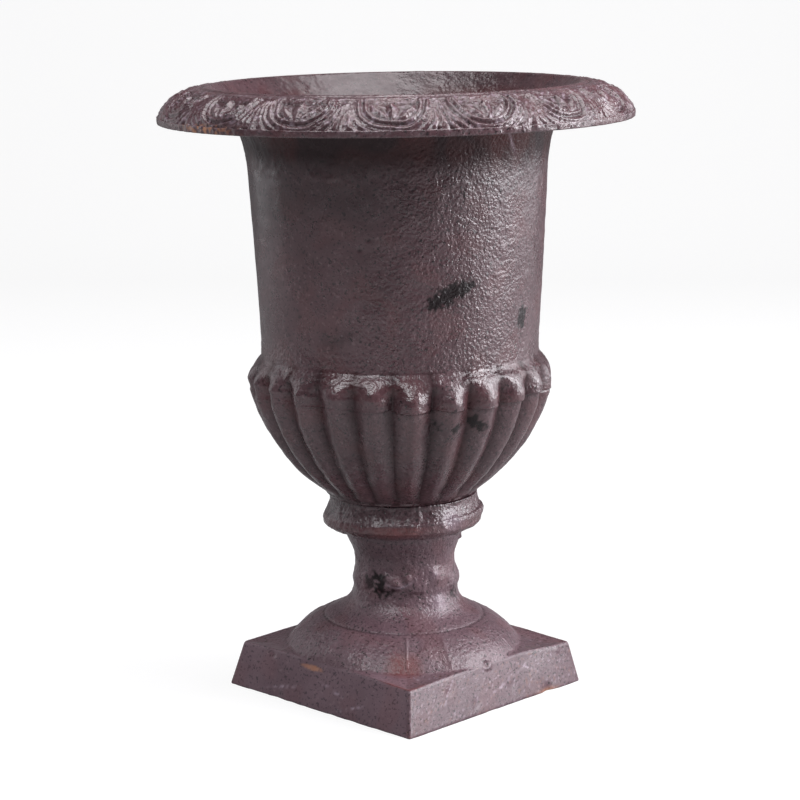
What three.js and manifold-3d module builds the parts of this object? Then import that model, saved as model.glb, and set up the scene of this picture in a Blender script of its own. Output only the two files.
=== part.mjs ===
// A cast-iron urn planter: a gadrooned bowl with an ornamented rim, a collar and a hollow
// pedestal on a square plinth, clamped together by one bolt through their middles.
// Millimetres, +Z up. The ground is z = 0 and the middle of the rim stands over the origin.
import * as THREE from "three";
import { mergeVertices } from "three/addons/utils/BufferGeometryUtils.js";
import Module from "manifold-3d";

const wasm = await Module();
wasm.setup();

// Castings in general
const castWall = 5.5; // thickness of the iron
const seatGap = 0.3; // left between two faces that bear on each other
const ironColour = 0x65545a;
const hardwareColour = 0x6b6764;

// Plinth
const plinthWidth = 126; // along X, on the ground
const plinthDepth = 120.5; // along Y, on the ground
const plinthTopWidth = 114.6;
const plinthTopDepth = 113;
const plinthHeight = 21.8;
const plinthRim = 8; // width of the ring that it stands on
const plinthTopPlate = 7; // iron over the hollow, at the corners

// Moulding on the plinth, ribbed like worn leaves
const mouldingHeight = 15.4;
const mouldingOverrun = 1.7; // its foot past the middle of the plinth's nearer sides, which cut it
const mouldingTopRadius = 38.9;
const mouldingRoll = 2.9; // how far its rounded top reaches out over the crease below the bell
const mouldingRibs = 16;
const ribProud = 0.5;
const ribShare = 0.5; // of the spacing, at a rib's foot
const creaseDepth = 0.3;

// Bell and stem
const bellHeight = 12;
const bellCurl = 8.3; // from the bell's top down to where it runs outwards
const ringRadius = 26.4; // the rough ring where the bell meets the stem
const ringHeight = 10.8;
const stemHeight = 22; // from the ring up to the collar's seat
const waistRadius = 24.7;
const waistRise = 5.5; // from the ring up to the waist
const stemTopRadius = 29.2;
const stemLip = 4; // upright edge under the collar
const stemBore = 19; // radius of the hollow inside the stem
const webThickness = 6; // the web that closes the stem's top
const spigotHeight = 3; // boss that centres the collar
const spigotClearance = 0.3;

// Collar
const collarHeight = 16.2;
const collarNeckRadius = 36.6;
const collarNeckHeight = 2; // straight part at the top
const collarRadius = 39.9;
const collarBandHeight = 6; // up to the band's rounded shoulder
const collarEdge = 3; // rounding of the lower edge
const collarBore = 22; // radius

// Bowl
const bowlHeight = 201.2; // from its seat to the rim's crest
const bowlSeatRadius = 36.8;
const bowlSeatStep = 1.6; // height of the chamfer around the seat
const bowlFloor = 7.5; // thickness of the floor
const floorMargin = 4; // flat floor outside the drain holes
const gadroonHeight = 53.7; // from the seat to the lobes' heads
const gadroonRadius = 74.2; // just below the heads
const lobes = 24;
const lobeDepth = 3.6; // how far the valleys lie inside the crests
const lobeRoundness = 0.9; // 1 would be a half circle
const lobeTurn = -4.1; // degrees, where the first valley lies
const headHeight = 18;
const headProud = 0.8; // how far the heads stand over the lobes
const headStep = 1.4; // height of that step
const wallRadius = 68.1; // at the wall's foot
const wallFoot = 6; // height of the upright foot over the heads
const throatRadius = 72.6; // at the wall's top, where the flare starts
const flareHeight = 41; // from the throat up to the crest

// Rim
const rimRadius = 115.2;
const crestRadius = 90;
const crestFlat = 1.5; // width of the level crest
const rimDrop = 13.7; // from the crest to the edge band
const rimEdge = 3.2; // height of the edge band
const rimEdgeRound = 1.2; // rounding of its lower corner
const rimUnderRise = 9; // how far the underside arches above the band's lower edge
const archRadius = 96.6; // where the underside is highest

// Ornament on the rim's top: eggs with a double border and a leaf in the middle and, between them,
// fans of leaves. Widths are shares of the spacing from egg to egg, lengths are shares of the way
// from the crest down to the edge, and heights are shares of the relief.
const motifs = 16;
const motifTurn = -1.95; // degrees, the middle of the first egg
const reliefHeight = 2.1;
const mouthBand = 0.28; // the plain band that follows the mouth
const mouthBandHeight = 0.62;
const eggHalfWidth = 0.376;
const eggShoulder = 0.374; // where the egg's sides start to close
const eggEndGap = 0.03; // from the egg's end to the edge
const eggRounding = 2.2; // 2 would be an ellipse
const innerBorder = 0.8; // size of the second border, as a share of the egg
const innerHeight = 0.82;
const borderWidth = 0.06; // half of a border's width, as a share of the egg
const leafHalfWidth = 0.072;
const leafEnd = 0.833;
const leafHeight = 0.95;
const groundHeight = 0.1;
const lintelHeight = 0.8; // the bar over an egg
const lintelWidth = 0.035;
const fanBorder = 1.1; // where the fan's outer leaves end, as a share of the egg
const fanLeaves = 5;
const fanNeck = 0.064; // half of the fan's least width
const fanNeckHeight = 0.62; // it swells to 1 at the edge
const fanGroove = 0.83; // depth between two leaves, as a share of their height
const eggEndRoom = 0.1; // half of the width that the facets keep at an egg's end
const topOverlap = 1.6; // mm that the iron under the ornament runs into the rest of the rim

// How far the bowl stands out of true
const lean = 1; // degrees
const leanHeading = 223.5; // degrees from +X, the way it leans
const bowlShift = 0.6; // the bowl's seat off the collar's middle, the same way

// Bolt, nut and washers
const boltRadius = 5;
const headAcrossFlats = 17;
const headThickness = 6.4;
const nutThickness = 8.4;
const threadShowing = 3.5; // bolt end below the nut
const threadClearance = 0.3;
const washerRadius = 10;
const washerThickness = 2;
const washerBore = 5.5;
const lockRadius = 9;
const lockThickness = 2.4;
const lockSlit = 1.6;
const washerRoom = 2; // flat iron around the nut washer
const boltHole = 6.9; // radius of the cored hole in the castings

// Drain holes
const drains = 3;
const drainRadius = 3.4;
const drainCircle = 15.6; // radius of the circle that they lie on

// Facets around the turned shapes
const rimFacets = 4 * motifs;
const lobeFacets = 4 * lobes;
const ribFacets = 4 * mouldingRibs;
const plainFacets = 40;
const drainFacets = 20;
const hardwareFacets = 32;
const curveSteps = 4; // straight steps along one curve of an outline
const overcut = 2; // how far a cutting shape runs past the face that it opens
const edgeSkin = 0.1; // points this near an outline's own points or ends lie on it

// The largest circle on the plinth's top, and the moulding's foot around it
const plinthTopReach = Math.min(plinthTopWidth, plinthTopDepth) / 2;
const mouldingFootRadius = plinthTopReach + mouldingOverrun;

// Heights above the ground, and above the pedestal's seat along the leaning axis
const mouldingTop = plinthHeight + mouldingHeight;
const bellTop = mouldingTop + bellHeight;
const ringTop = bellTop + ringHeight;
const pedestalSeat = ringTop + stemHeight;
const collarSeat = seatGap;
const bowlSeat = collarSeat + collarHeight + seatGap;

const leanAngle = THREE.MathUtils.degToRad(lean);
const heading = THREE.MathUtils.degToRad(leanHeading);
const leanWay = new THREE.Vector3(Math.cos(heading), Math.sin(heading), 0);

// The closed mesh of a geometry as a solid.
function solid(geometry) {
  const bare = geometry.clone();
  bare.deleteAttribute("normal");
  bare.deleteAttribute("uv");
  const merged = mergeVertices(bare, 1e-4);
  return new wasm.Manifold(
    new wasm.Mesh({
      numProp: 3,
      vertProperties: new Float32Array(merged.attributes.position.array),
      triVerts: new Uint32Array(merged.index.array),
    }),
  );
}

function union(solids) {
  return solids.reduce((joined, next) => joined.add(next));
}

function meshOf(name, body, material) {
  const made = body.getMesh();
  const geometry = new THREE.BufferGeometry();
  const positions = new THREE.BufferAttribute(made.vertProperties, made.numProp);
  geometry.setAttribute("position", positions);
  geometry.setIndex(new THREE.BufferAttribute(made.triVerts, 1));
  geometry.computeVertexNormals();
  const mesh = new THREE.Mesh(geometry, material);
  mesh.name = name;
  return mesh;
}

function paintedIron() {
  return new THREE.MeshStandardMaterial({ color: ironColour, roughness: 0.45, metalness: 0.1 });
}

function plainSteel() {
  return new THREE.MeshStandardMaterial({ color: hardwareColour, roughness: 0.5, metalness: 0.9 });
}

// An outline of points, x the radius and y the height, turned about the Z axis. It starts and ends
// on the axis, the lower end first. shape(angle, radius, height) gives each point its new place,
// with angles that start at -Y and run towards +X.
function turned(outline, facets, shape = null) {
  const points = outline.map((p) => new THREE.Vector2(p.x, p.y));
  const geometry = new THREE.LatheGeometry(points, facets);
  geometry.rotateX(Math.PI / 2);
  if (shape) {
    const place = geometry.attributes.position;
    for (let i = 0; i < place.count; i++) {
      const x = place.getX(i);
      const y = place.getY(i);
      const z = place.getZ(i);
      const angle = Math.atan2(x, -y);
      const moved = { angle, ...shape(angle, Math.hypot(x, y), z) };
      place.setXYZ(
        i,
        moved.radius * Math.sin(moved.angle),
        -moved.radius * Math.cos(moved.angle),
        moved.height,
      );
    }
  }
  return solid(geometry);
}

// A block with sides that slope as the plinth's do, its foot centred on the origin.
function battered(width, depth, height) {
  const inX = (((plinthWidth - plinthTopWidth) / 2) * height) / plinthHeight;
  const inY = (((plinthDepth - plinthTopDepth) / 2) * height) / plinthHeight;
  const block = new THREE.BoxGeometry(width, depth, height);
  block.translate(0, 0, height / 2);
  const place = block.attributes.position;
  for (let i = 0; i < place.count; i++) {
    if (place.getZ(i) > height / 2) {
      place.setX(i, place.getX(i) - Math.sign(place.getX(i)) * inX);
      place.setY(i, place.getY(i) - Math.sign(place.getY(i)) * inY);
    }
  }
  return solid(block);
}

// An upright cylinder from height low to height high.
function rod(radius, low, high, facets = hardwareFacets) {
  const cylinder = new THREE.CylinderGeometry(radius, radius, high - low, facets);
  cylinder.rotateX(Math.PI / 2);
  cylinder.translate(0, 0, (low + high) / 2);
  return solid(cylinder);
}

// An upright hexagonal prism.
function hexagon(acrossFlats, low, high) {
  return rod(acrossFlats / Math.sqrt(3), low, high, 6);
}

// Distance from the middle of the nearest repeat, from -0.5 to 0.5, for a pattern around the axis.
function repeat(angle, count, turn) {
  const turns = (angle / (2 * Math.PI)) * count - (turn / 360) * count;
  return turns - Math.round(turns);
}

// The drain holes, cut from height low to height high.
function drainCut(low, high) {
  const holes = [];
  for (let i = 0; i < drains; i++) {
    const angle = (2 * Math.PI * (i + 0.5)) / drains;
    const hole = rod(drainRadius, low, high, drainFacets);
    holes.push(hole.translate([drainCircle * Math.cos(angle), drainCircle * Math.sin(angle), 0]));
  }
  return union(holes);
}

// ---- Pedestal: stands on the ground, its axis through the origin ----

function stemAndBell() {
  const curl = bellTop - bellCurl;
  const crease = mouldingTop - creaseDepth;
  const lip = pedestalSeat - stemLip;
  const outline = new THREE.Path();
  outline.moveTo(0, plinthHeight - overcut);
  outline.lineTo(mouldingTopRadius - castWall, plinthHeight - overcut);
  outline.lineTo(mouldingTopRadius, crease);
  outline.bezierCurveTo(mouldingTopRadius, (crease + curl) / 2, ringRadius, curl, ringRadius, bellTop);
  outline.quadraticCurveTo(ringRadius, ringTop, waistRadius, ringTop + waistRise);
  outline.quadraticCurveTo(waistRadius, (ringTop + waistRise + lip) / 2, stemTopRadius, lip);
  outline.lineTo(stemTopRadius, pedestalSeat + overcut);
  outline.lineTo(0, pedestalSeat + overcut);
  return turned(outline.getPoints(curveSteps), plainFacets);
}

function ribbedMoulding() {
  const outline = new THREE.Path();
  outline.moveTo(0, plinthHeight - overcut);
  outline.lineTo(mouldingFootRadius, plinthHeight - overcut);
  outline.lineTo(mouldingFootRadius, plinthHeight);
  outline.bezierCurveTo(
    mouldingFootRadius,
    plinthHeight + mouldingHeight * 0.3,
    mouldingTopRadius + mouldingRoll,
    mouldingTop,
    mouldingTopRadius - mouldingRoll,
    mouldingTop,
  );
  outline.lineTo(0, mouldingTop);
  const ribs = (angle, radius, height) => {
    const across = (2 * Math.abs(repeat(angle, mouldingRibs, 0))) / ribShare;
    const proud = radius > mouldingTopRadius ? ribProud * Math.max(1 - across, 0) : 0;
    return { radius: radius + proud, height };
  };
  // The plinth's sides run up through the moulding and cut it flush.
  const sides = battered(plinthWidth, plinthDepth, mouldingTop + overcut);
  return turned(outline.getPoints(curveSteps), ribFacets, ribs).intersect(sides);
}

function pedestalHollow() {
  const floor = plinthHeight - plinthTopPlate;
  const flare = plinthTopReach - castWall;
  const outline = new THREE.Path();
  outline.moveTo(0, floor - overcut);
  outline.lineTo(flare, floor - overcut);
  outline.lineTo(flare, floor);
  outline.bezierCurveTo(
    flare,
    plinthHeight,
    mouldingTopRadius,
    mouldingTop - castWall,
    ringRadius + castWall,
    mouldingTop - castWall,
  );
  outline.quadraticCurveTo(stemBore, mouldingTop, stemBore, bellTop);
  outline.lineTo(stemBore, pedestalSeat - webThickness);
  outline.lineTo(0, pedestalSeat - webThickness);
  const pocket = battered(plinthWidth - 2 * plinthRim, plinthDepth - 2 * plinthRim, floor + overcut);
  return turned(outline.getPoints(curveSteps), plainFacets).add(pocket.translate([0, 0, -overcut]));
}

// Moves what is drawn along the leaning axis, from the pedestal's seat up, onto the pedestal.
function leanOn(body) {
  const axis = new THREE.Vector3(-leanWay.y, leanWay.x, 0);
  const place = new THREE.Matrix4().makeRotationAxis(axis, leanAngle);
  place.setPosition(0, 0, pedestalSeat);
  return body.transform(place.elements);
}

function pedestal() {
  const reach = stemTopRadius + overcut;
  const above = rod(reach, 0, 2 * (overcut + reach * Math.sin(leanAngle)), plainFacets);
  const spigot = rod(collarBore - spigotClearance, -webThickness, spigotHeight, plainFacets);
  const nutSeat = rod(washerRadius + washerRoom, -webThickness - overcut, -webThickness);
  const bore = rod(boltHole, -webThickness - overcut, spigotHeight + overcut);
  const drainHoles = drainCut(-webThickness - overcut, spigotHeight + overcut);
  const shell = union([
    battered(plinthWidth, plinthDepth, plinthHeight),
    ribbedMoulding(),
    stemAndBell(),
  ]);
  return shell
    .subtract(pedestalHollow())
    .subtract(leanOn(above))
    .add(leanOn(spigot))
    .subtract(leanOn(nutSeat))
    .subtract(leanOn(bore))
    .subtract(leanOn(drainHoles));
}

// ---- Collar: drawn from its own seat up ----

function collar() {
  const coveTop = collarHeight - collarNeckHeight;
  const coveMiddle = (collarBandHeight + coveTop) / 2;
  const outline = new THREE.Path();
  outline.moveTo(0, 0);
  outline.lineTo(collarRadius - collarEdge, 0);
  outline.quadraticCurveTo(collarRadius, 0, collarRadius, collarEdge);
  outline.lineTo(collarRadius, collarBandHeight);
  outline.bezierCurveTo(
    collarRadius,
    coveMiddle,
    collarNeckRadius,
    coveMiddle,
    collarNeckRadius,
    coveTop,
  );
  outline.lineTo(collarNeckRadius, collarHeight);
  outline.lineTo(0, collarHeight);
  const ring = turned(outline.getPoints(curveSteps), plainFacets);
  return ring.subtract(rod(collarBore, -overcut, collarHeight + overcut, plainFacets));
}

// ---- Bowl: drawn from its own seat up ----

const shoulder = gadroonHeight + headHeight; // where the heads meet the wall
const throat = bowlHeight - flareHeight;
const gadroonFoot = bowlSeatRadius + bowlSeatStep;
const belly = gadroonRadius - gadroonFoot;

const bandTop = bowlHeight - rimDrop;
const bandFoot = bandTop - rimEdge;

// The wall, the rim's underside and its edge band, closed below the ornament.
function rimAndWall() {
  const archTop = bandFoot + rimUnderRise;
  const lipRadius = rimRadius - rimEdgeRound;
  const outline = new THREE.Path();
  outline.moveTo(0, gadroonHeight);
  outline.lineTo(wallRadius, gadroonHeight);
  outline.lineTo(wallRadius, shoulder + wallFoot);
  outline.lineTo(throatRadius, throat);
  outline.bezierCurveTo(
    throatRadius,
    bandFoot - rimUnderRise,
    (throatRadius + archRadius) / 2 - castWall / 2,
    archTop,
    archRadius,
    archTop,
  );
  outline.quadraticCurveTo((archRadius + lipRadius) / 2, archTop, lipRadius, bandFoot);
  outline.lineTo(rimRadius, bandFoot + rimEdgeRound);
  outline.lineTo(rimRadius, bandTop);
  const points = outline.getPoints(curveSteps);
  points.push(...rimTop(rimRadius, reliefHeight + topOverlap / 2).getPoints(curveSteps).reverse());
  points.push(new THREE.Vector2(0, bowlHeight - reliefHeight - topOverlap / 2));
  return turned(points, rimFacets);
}

// The rim's top from the crest out to its edge, sunk into the iron by this much.
function rimTop(edgeRadius, sunk = 0) {
  return new THREE.CubicBezierCurve(
    new THREE.Vector2(crestRadius + crestFlat, bowlHeight - sunk),
    new THREE.Vector2(crestRadius + rimDrop * 0.9 - sunk / 2, bowlHeight - sunk),
    new THREE.Vector2(edgeRadius - rimDrop * 0.2 - sunk, bandTop + rimDrop * 0.52 - sunk / 2),
    new THREE.Vector2(edgeRadius - sunk, bandTop),
  );
}

// The rim's top with its ornament, whose highest parts lie on the outline. The ground lies below.
function ornamentedTop() {
  const edgeRadius = rimRadius * Math.cos(Math.PI / rimFacets) - edgeSkin; // within the band's facets
  const top = rimTop(edgeRadius);
  const rows = [0, mouthBand, lintelMiddle, ...eggRows, 1].map((down) => {
    const along = top.getTangentAt(down);
    return { down, point: top.getPointAt(down), out: new THREE.Vector2(-along.y, along.x) };
  });
  const buried = reliefHeight + topOverlap;
  const outline = [new THREE.Vector2(0, bowlHeight - buried)];
  outline.push(...rimTop(edgeRadius, buried).getPoints(curveSteps));
  outline.push(...rows.map((row) => row.point).reverse());
  outline.push(new THREE.Vector2(0, bowlHeight));

  const ornament = (angle, radius, height) => {
    const place = new THREE.Vector2(radius, height);
    const row = rows.find((each) => each.point.distanceTo(place) < edgeSkin);
    if (!row) return { radius, height };
    const across = repeat(angle, motifs, 0);
    const side = ornamentSide(Math.round(Math.abs(across) * ornamentFacets), row.down);
    const moved = Math.sign(across) * side - across;
    const atEnd = row.down === 0 || row.down === 1;
    const sunk = atEnd ? 0 : reliefHeight * (1 - eggAndFan(side, row.down));
    return {
      angle: angle + (moved * 2 * Math.PI) / motifs,
      radius: radius - sunk * row.out.x,
      height: height - sunk * row.out.y,
    };
  };
  return turned(outline, ornamentFacets * motifs, ornament).rotate([0, 0, motifTurn]);
}

const lintelMiddle = (mouthBand + eggShoulder) / 2;
const eggLength = 1 - eggEndGap - eggShoulder; // from its shoulder

// Half of the width, this far down, of the contour that has the given share of the egg's size.
function eggSide(share, down) {
  const closing = Math.max(down - eggShoulder, 0) / eggLength;
  const open = Math.max(share ** eggRounding - closing ** eggRounding, 0);
  return Math.max(eggHalfWidth * open ** (1 / eggRounding), eggEndRoom * share);
}

// Half of the fan's width this far down.
function fanSide(down) {
  return Math.max(0.5 - eggSide(fanBorder, down), fanNeck);
}

// Rows of facets over the eggs: from shoulder to end, with one on each border's end.
const eggRows = [0.15, 0.36, 0.58, innerBorder, (1 + innerBorder) / 2, 1].map((share) =>
  eggShoulder + eggLength * share,
);

// The facets' upright edges follow the egg's borders and the fan's leaves.
const eggEdges = [0, 0.3, innerBorder - 2 * borderWidth, innerBorder, (1 + innerBorder) / 2, 1];
const ornamentFacets = 2 * (eggEdges.length + fanLeaves);

// Distance from the middle of an egg to the edge with this number, counted from the same place.
function ornamentSide(number, down) {
  if (number < eggEdges.length) {
    const share = eggEdges[number];
    const border = eggSide(Math.max(share, innerBorder), down);
    return (border * Math.min(share, innerBorder)) / innerBorder;
  }
  return 0.5 - ((ornamentFacets / 2 - number) / fanLeaves) * fanSide(down);
}

// Height of the ornament at this distance from the middle of an egg and this far down.
function eggAndFan(side, down) {
  if (down <= mouthBand) return mouthBandHeight;
  const closing = Math.max(down - eggShoulder, 0) / eggLength;
  const egg = ((side / eggHalfWidth) ** eggRounding + closing ** eggRounding) ** (1 / eggRounding);
  if (egg > (1 + fanBorder) / 2) {
    const leaf = ((0.5 - side) / fanSide(down)) * fanLeaves;
    const fromMiddle = leaf - 2 * Math.round(leaf / 2);
    const swelling = THREE.MathUtils.smoothstep(closing, 0, 1);
    const crest = THREE.MathUtils.lerp(fanNeckHeight, 1, swelling);
    return crest * (1 - fanGroove * fromMiddle ** 2);
  }
  const ridge = (distance, width) => Math.exp(-((distance / width) ** 2));
  const outer = ridge(egg - 1, borderWidth);
  const inner = innerHeight * ridge(egg - innerBorder, borderWidth);
  const lintel = lintelHeight * ridge(down - lintelMiddle, lintelWidth);
  const alongLeaf = THREE.MathUtils.clamp((down - eggShoulder) / (leafEnd - eggShoulder), 0, 1);
  const onLeaf = side < leafHalfWidth * Math.sin(Math.PI * alongLeaf);
  return Math.max(outer, inner, lintel, onLeaf ? leafHeight : groundHeight);
}

function gadroons() {
  const headRadius = gadroonRadius + headProud;
  const outline = new THREE.Path();
  outline.moveTo(0, 0);
  outline.lineTo(bowlSeatRadius, 0);
  outline.lineTo(gadroonFoot, bowlSeatStep);
  outline.bezierCurveTo(
    gadroonFoot + belly * 0.47,
    gadroonHeight * 0.25,
    gadroonFoot + belly * 0.86,
    gadroonHeight * 0.6,
    gadroonRadius,
    gadroonHeight,
  );
  outline.lineTo(headRadius, gadroonHeight + headStep);
  outline.bezierCurveTo(
    headRadius,
    gadroonHeight + headHeight * 0.55,
    (wallRadius + headRadius) / 2,
    gadroonHeight + headHeight * 0.85,
    wallRadius - headProud,
    shoulder,
  );
  outline.lineTo(0, shoulder);
  const lobed = (angle, radius, height) => {
    if (radius < bowlSeatRadius + edgeSkin || height > shoulder - edgeSkin) return { radius, height };
    const across = 2 * repeat(angle, lobes, lobeTurn + 180 / lobes);
    const arc = 1 - Math.sqrt(1 - lobeRoundness * across ** 2);
    const hollow = arc / (1 - Math.sqrt(1 - lobeRoundness));
    const fade = Math.min((shoulder - height) / (headHeight * 0.6), 1);
    const depth = lobeDepth * (radius / gadroonRadius) * fade;
    return { radius: radius - depth * hollow, height };
  };
  return turned(outline.getPoints(curveSteps), lobeFacets, lobed);
}

function bowlHollow() {
  const inset = castWall + lobeDepth / 2;
  const outline = new THREE.Path();
  outline.moveTo(0, bowlFloor);
  outline.lineTo(drainCircle + drainRadius + floorMargin, bowlFloor);
  outline.bezierCurveTo(
    gadroonFoot + belly * 0.47 - inset,
    gadroonHeight * 0.25,
    gadroonFoot + belly * 0.86 - inset,
    gadroonHeight * 0.6 + castWall,
    wallRadius - castWall,
    gadroonHeight + castWall,
  );
  outline.lineTo(wallRadius - castWall, shoulder);
  outline.lineTo(throatRadius - castWall, throat);
  outline.bezierCurveTo(
    throatRadius - castWall,
    bowlHeight - rimDrop - castWall / 2,
    crestRadius - 2 * castWall,
    bowlHeight - 2 * castWall,
    crestRadius,
    bowlHeight,
  );
  outline.lineTo(crestRadius, bowlHeight + overcut);
  outline.lineTo(0, bowlHeight + overcut);
  return turned(outline.getPoints(curveSteps), plainFacets);
}

function bowl() {
  // The bolt stays on the pedestal's axis, so its hole lies off the bowl's own middle.
  const aside = [-bowlShift * leanWay.x, -bowlShift * leanWay.y, 0];
  const bore = rod(boltHole, -overcut, bowlFloor + overcut).translate(aside);
  const drainHoles = drainCut(-overcut, bowlFloor + overcut).translate(aside);
  const outside = union([rimAndWall(), ornamentedTop(), gadroons()]);
  return outside.subtract(bowlHollow()).subtract(bore).subtract(drainHoles);
}

// ---- Bolt, nut and washers: drawn along the leaning axis, from the pedestal's seat up ----

const floorTop = bowlSeat + bowlFloor;
const headSeat = floorTop + seatGap + washerThickness + seatGap;
const nutWasherFoot = -webThickness - seatGap - washerThickness;
const lockFoot = nutWasherFoot - seatGap - lockThickness;
const nutFoot = lockFoot - seatGap - nutThickness;

function tieBolt() {
  const shank = rod(boltRadius, nutFoot - threadShowing, headSeat + headThickness / 2);
  return shank.add(hexagon(headAcrossFlats, headSeat, headSeat + headThickness));
}

function flatWasher(foot) {
  const disc = rod(washerRadius, foot, foot + washerThickness);
  return disc.subtract(rod(washerBore, foot - overcut, foot + washerThickness + overcut));
}

function lockWasher() {
  const disc = rod(lockRadius, lockFoot, lockFoot + lockThickness);
  const slit = new THREE.BoxGeometry(2 * lockRadius, lockSlit, lockThickness + 2 * overcut);
  slit.translate(lockRadius, 0, lockFoot + lockThickness / 2);
  const bore = rod(washerBore, lockFoot - overcut, lockFoot + lockThickness + overcut);
  return disc.subtract(bore).subtract(solid(slit));
}

function hexNut() {
  const bore = rod(boltRadius + threadClearance, nutFoot - overcut, nutFoot + nutThickness + overcut);
  return hexagon(headAcrossFlats, nutFoot, nutFoot + nutThickness).subtract(bore);
}

// ---- Assembly ----

const urn = new THREE.Group();

// The pedestal stands off the origin by what the leaning rim travels from its axis.
const rimReach = bowlSeat + bowlHeight - rimDrop - rimEdge / 2;
const rimTravel = rimReach * Math.sin(leanAngle) + bowlShift * Math.cos(leanAngle);
const standing = new THREE.Group();
standing.position.copy(leanWay).multiplyScalar(-rimTravel);
urn.add(standing);
standing.add(meshOf("pedestal", pedestal(), paintedIron()));

const leaning = new THREE.Group();
leaning.position.z = pedestalSeat;
leaning.quaternion.setFromAxisAngle(new THREE.Vector3(-leanWay.y, leanWay.x, 0), leanAngle);
standing.add(leaning);

const collarMesh = meshOf("collar", collar(), paintedIron());
collarMesh.position.z = collarSeat;
leaning.add(collarMesh);

const bowlMesh = meshOf("urn_bowl", bowl(), paintedIron());
bowlMesh.position.copy(leanWay).multiplyScalar(bowlShift);
bowlMesh.position.z = bowlSeat;
leaning.add(bowlMesh);

leaning.add(meshOf("tie_bolt", tieBolt(), plainSteel()));
leaning.add(meshOf("floor_washer", flatWasher(floorTop + seatGap), plainSteel()));
leaning.add(meshOf("nut_washer", flatWasher(nutWasherFoot), plainSteel()));
leaning.add(meshOf("lock_washer", lockWasher(), plainSteel()));
leaning.add(meshOf("hex_nut", hexNut(), plainSteel()));

export default urn;
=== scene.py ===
"""A small cast-iron garden urn on a white table: bowl, collar and pedestal, held by one bolt.

Shapes are worked out in millimetres around the middle of the plinth or of the rim, then scaled to
metres. Angles around the axis start at -Y and run towards +X.
"""
import math

import bmesh
import bpy
import numpy as np
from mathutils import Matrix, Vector
from mathutils.geometry import delaunay_2d_cdt


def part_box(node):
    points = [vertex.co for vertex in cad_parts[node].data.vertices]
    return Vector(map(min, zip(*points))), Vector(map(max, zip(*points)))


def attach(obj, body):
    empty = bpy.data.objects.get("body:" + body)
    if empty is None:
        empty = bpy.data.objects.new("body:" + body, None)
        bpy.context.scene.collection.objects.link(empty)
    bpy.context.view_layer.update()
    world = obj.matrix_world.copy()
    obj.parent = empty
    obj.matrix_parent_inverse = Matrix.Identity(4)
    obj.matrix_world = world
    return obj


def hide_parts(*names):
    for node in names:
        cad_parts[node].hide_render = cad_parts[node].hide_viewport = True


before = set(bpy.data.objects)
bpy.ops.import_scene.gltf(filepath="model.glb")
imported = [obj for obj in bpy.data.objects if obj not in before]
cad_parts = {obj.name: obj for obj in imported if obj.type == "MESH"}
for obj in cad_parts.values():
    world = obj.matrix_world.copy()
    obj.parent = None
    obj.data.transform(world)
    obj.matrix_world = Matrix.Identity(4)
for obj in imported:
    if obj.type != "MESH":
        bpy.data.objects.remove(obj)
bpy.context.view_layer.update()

MM = 0.001


# ---- Where things stand ----

def middle_of(node):
    """Middle of a CAD node in plan, in mm."""
    low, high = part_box(node)
    return np.array([(low[0] + high[0]) / 2, (low[1] + high[1]) / 2]) / MM


FOOT = middle_of("pedestal")
LEAN_HEADING = math.radians(223.5)
LEAN_WAY = np.array([math.cos(LEAN_HEADING), math.sin(LEAN_HEADING)])
LEAN = math.radians(1.0)
VIEW = math.radians(43.55)  # the photograph's side of the urn
RIGHT = np.array([math.cos(VIEW), math.sin(VIEW)])  # the photograph's right, in plan
AWAY = np.array([-math.sin(VIEW), math.cos(VIEW)])

SEAT = 82.0  # top of the pedestal
WEB_TOP = 81.75  # the pedestal's web, which the bolt goes through
WEB_FOOT = 76.0
BOWL_FOOT = 98.8
FLOOR_TOP = 106.3  # inside the bowl
STEP_HEIGHT = 152.4  # lower edge of the gadroons' heads
CREST = 299.8


# ---- Helpers for shapes ----

def smooth(value, low, high):
    """0 below low, 1 above high and an even turn between them."""
    t = np.clip((value - low) / (high - low), 0, 1)
    return t * t * (3 - 2 * t)


def bump(distance, width):
    return np.exp(-(distance / width) ** 2)


GRADIENTS = np.array([
    [1, 1, 0], [-1, 1, 0], [1, -1, 0], [-1, -1, 0], [1, 0, 1], [-1, 0, 1], [1, 0, -1], [-1, 0, -1],
    [0, 1, 1], [0, -1, 1], [0, 1, -1], [0, -1, -1], [1, 1, 0], [-1, 1, 0], [0, -1, 1], [0, -1, -1],
], float)


def noise(points, size, seed=0):
    """Random heights from about -1 to 1 that change smoothly over the given size in mm."""
    place = np.asarray(points, float) / size
    cell = np.floor(place).astype(np.int64)
    part = place - cell
    ease = part ** 3 * (part * (part * 6 - 15) + 10)
    total = np.zeros(place.shape[:-1])
    for corner in np.ndindex(2, 2, 2):
        key = cell + np.array(corner)
        mixed = key[..., 0] * 73856093 ^ key[..., 1] * 19349663 ^ key[..., 2] * 83492791
        mixed = (mixed ^ (seed * 40503 + 977)) & 0xFFFFFFFF
        mixed = ((mixed ^ (mixed >> 15)) * 2246822519) & 0xFFFFFFFF
        mixed = ((mixed ^ (mixed >> 13)) * 3266489917) & 0xFFFFFFFF
        slope = GRADIENTS[(mixed >> 16) & 15]
        weight = np.prod(np.where(np.array(corner) == 1, ease, 1 - ease), axis=-1)
        total += weight * np.sum(slope * (part - np.array(corner)), axis=-1)
    return total * 1.5


def around(angle, radius, height):
    """Points in space at these angles, radii and heights."""
    angle, radius, height = np.broadcast_arrays(angle, radius, height)
    return np.stack([radius * np.sin(angle), -radius * np.cos(angle), height], axis=-1)


def spun(line, angle):
    """An outline of radii and heights turned about the axis."""
    return around(angle[None, :], line[:, :1], line[:, 1:])


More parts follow.
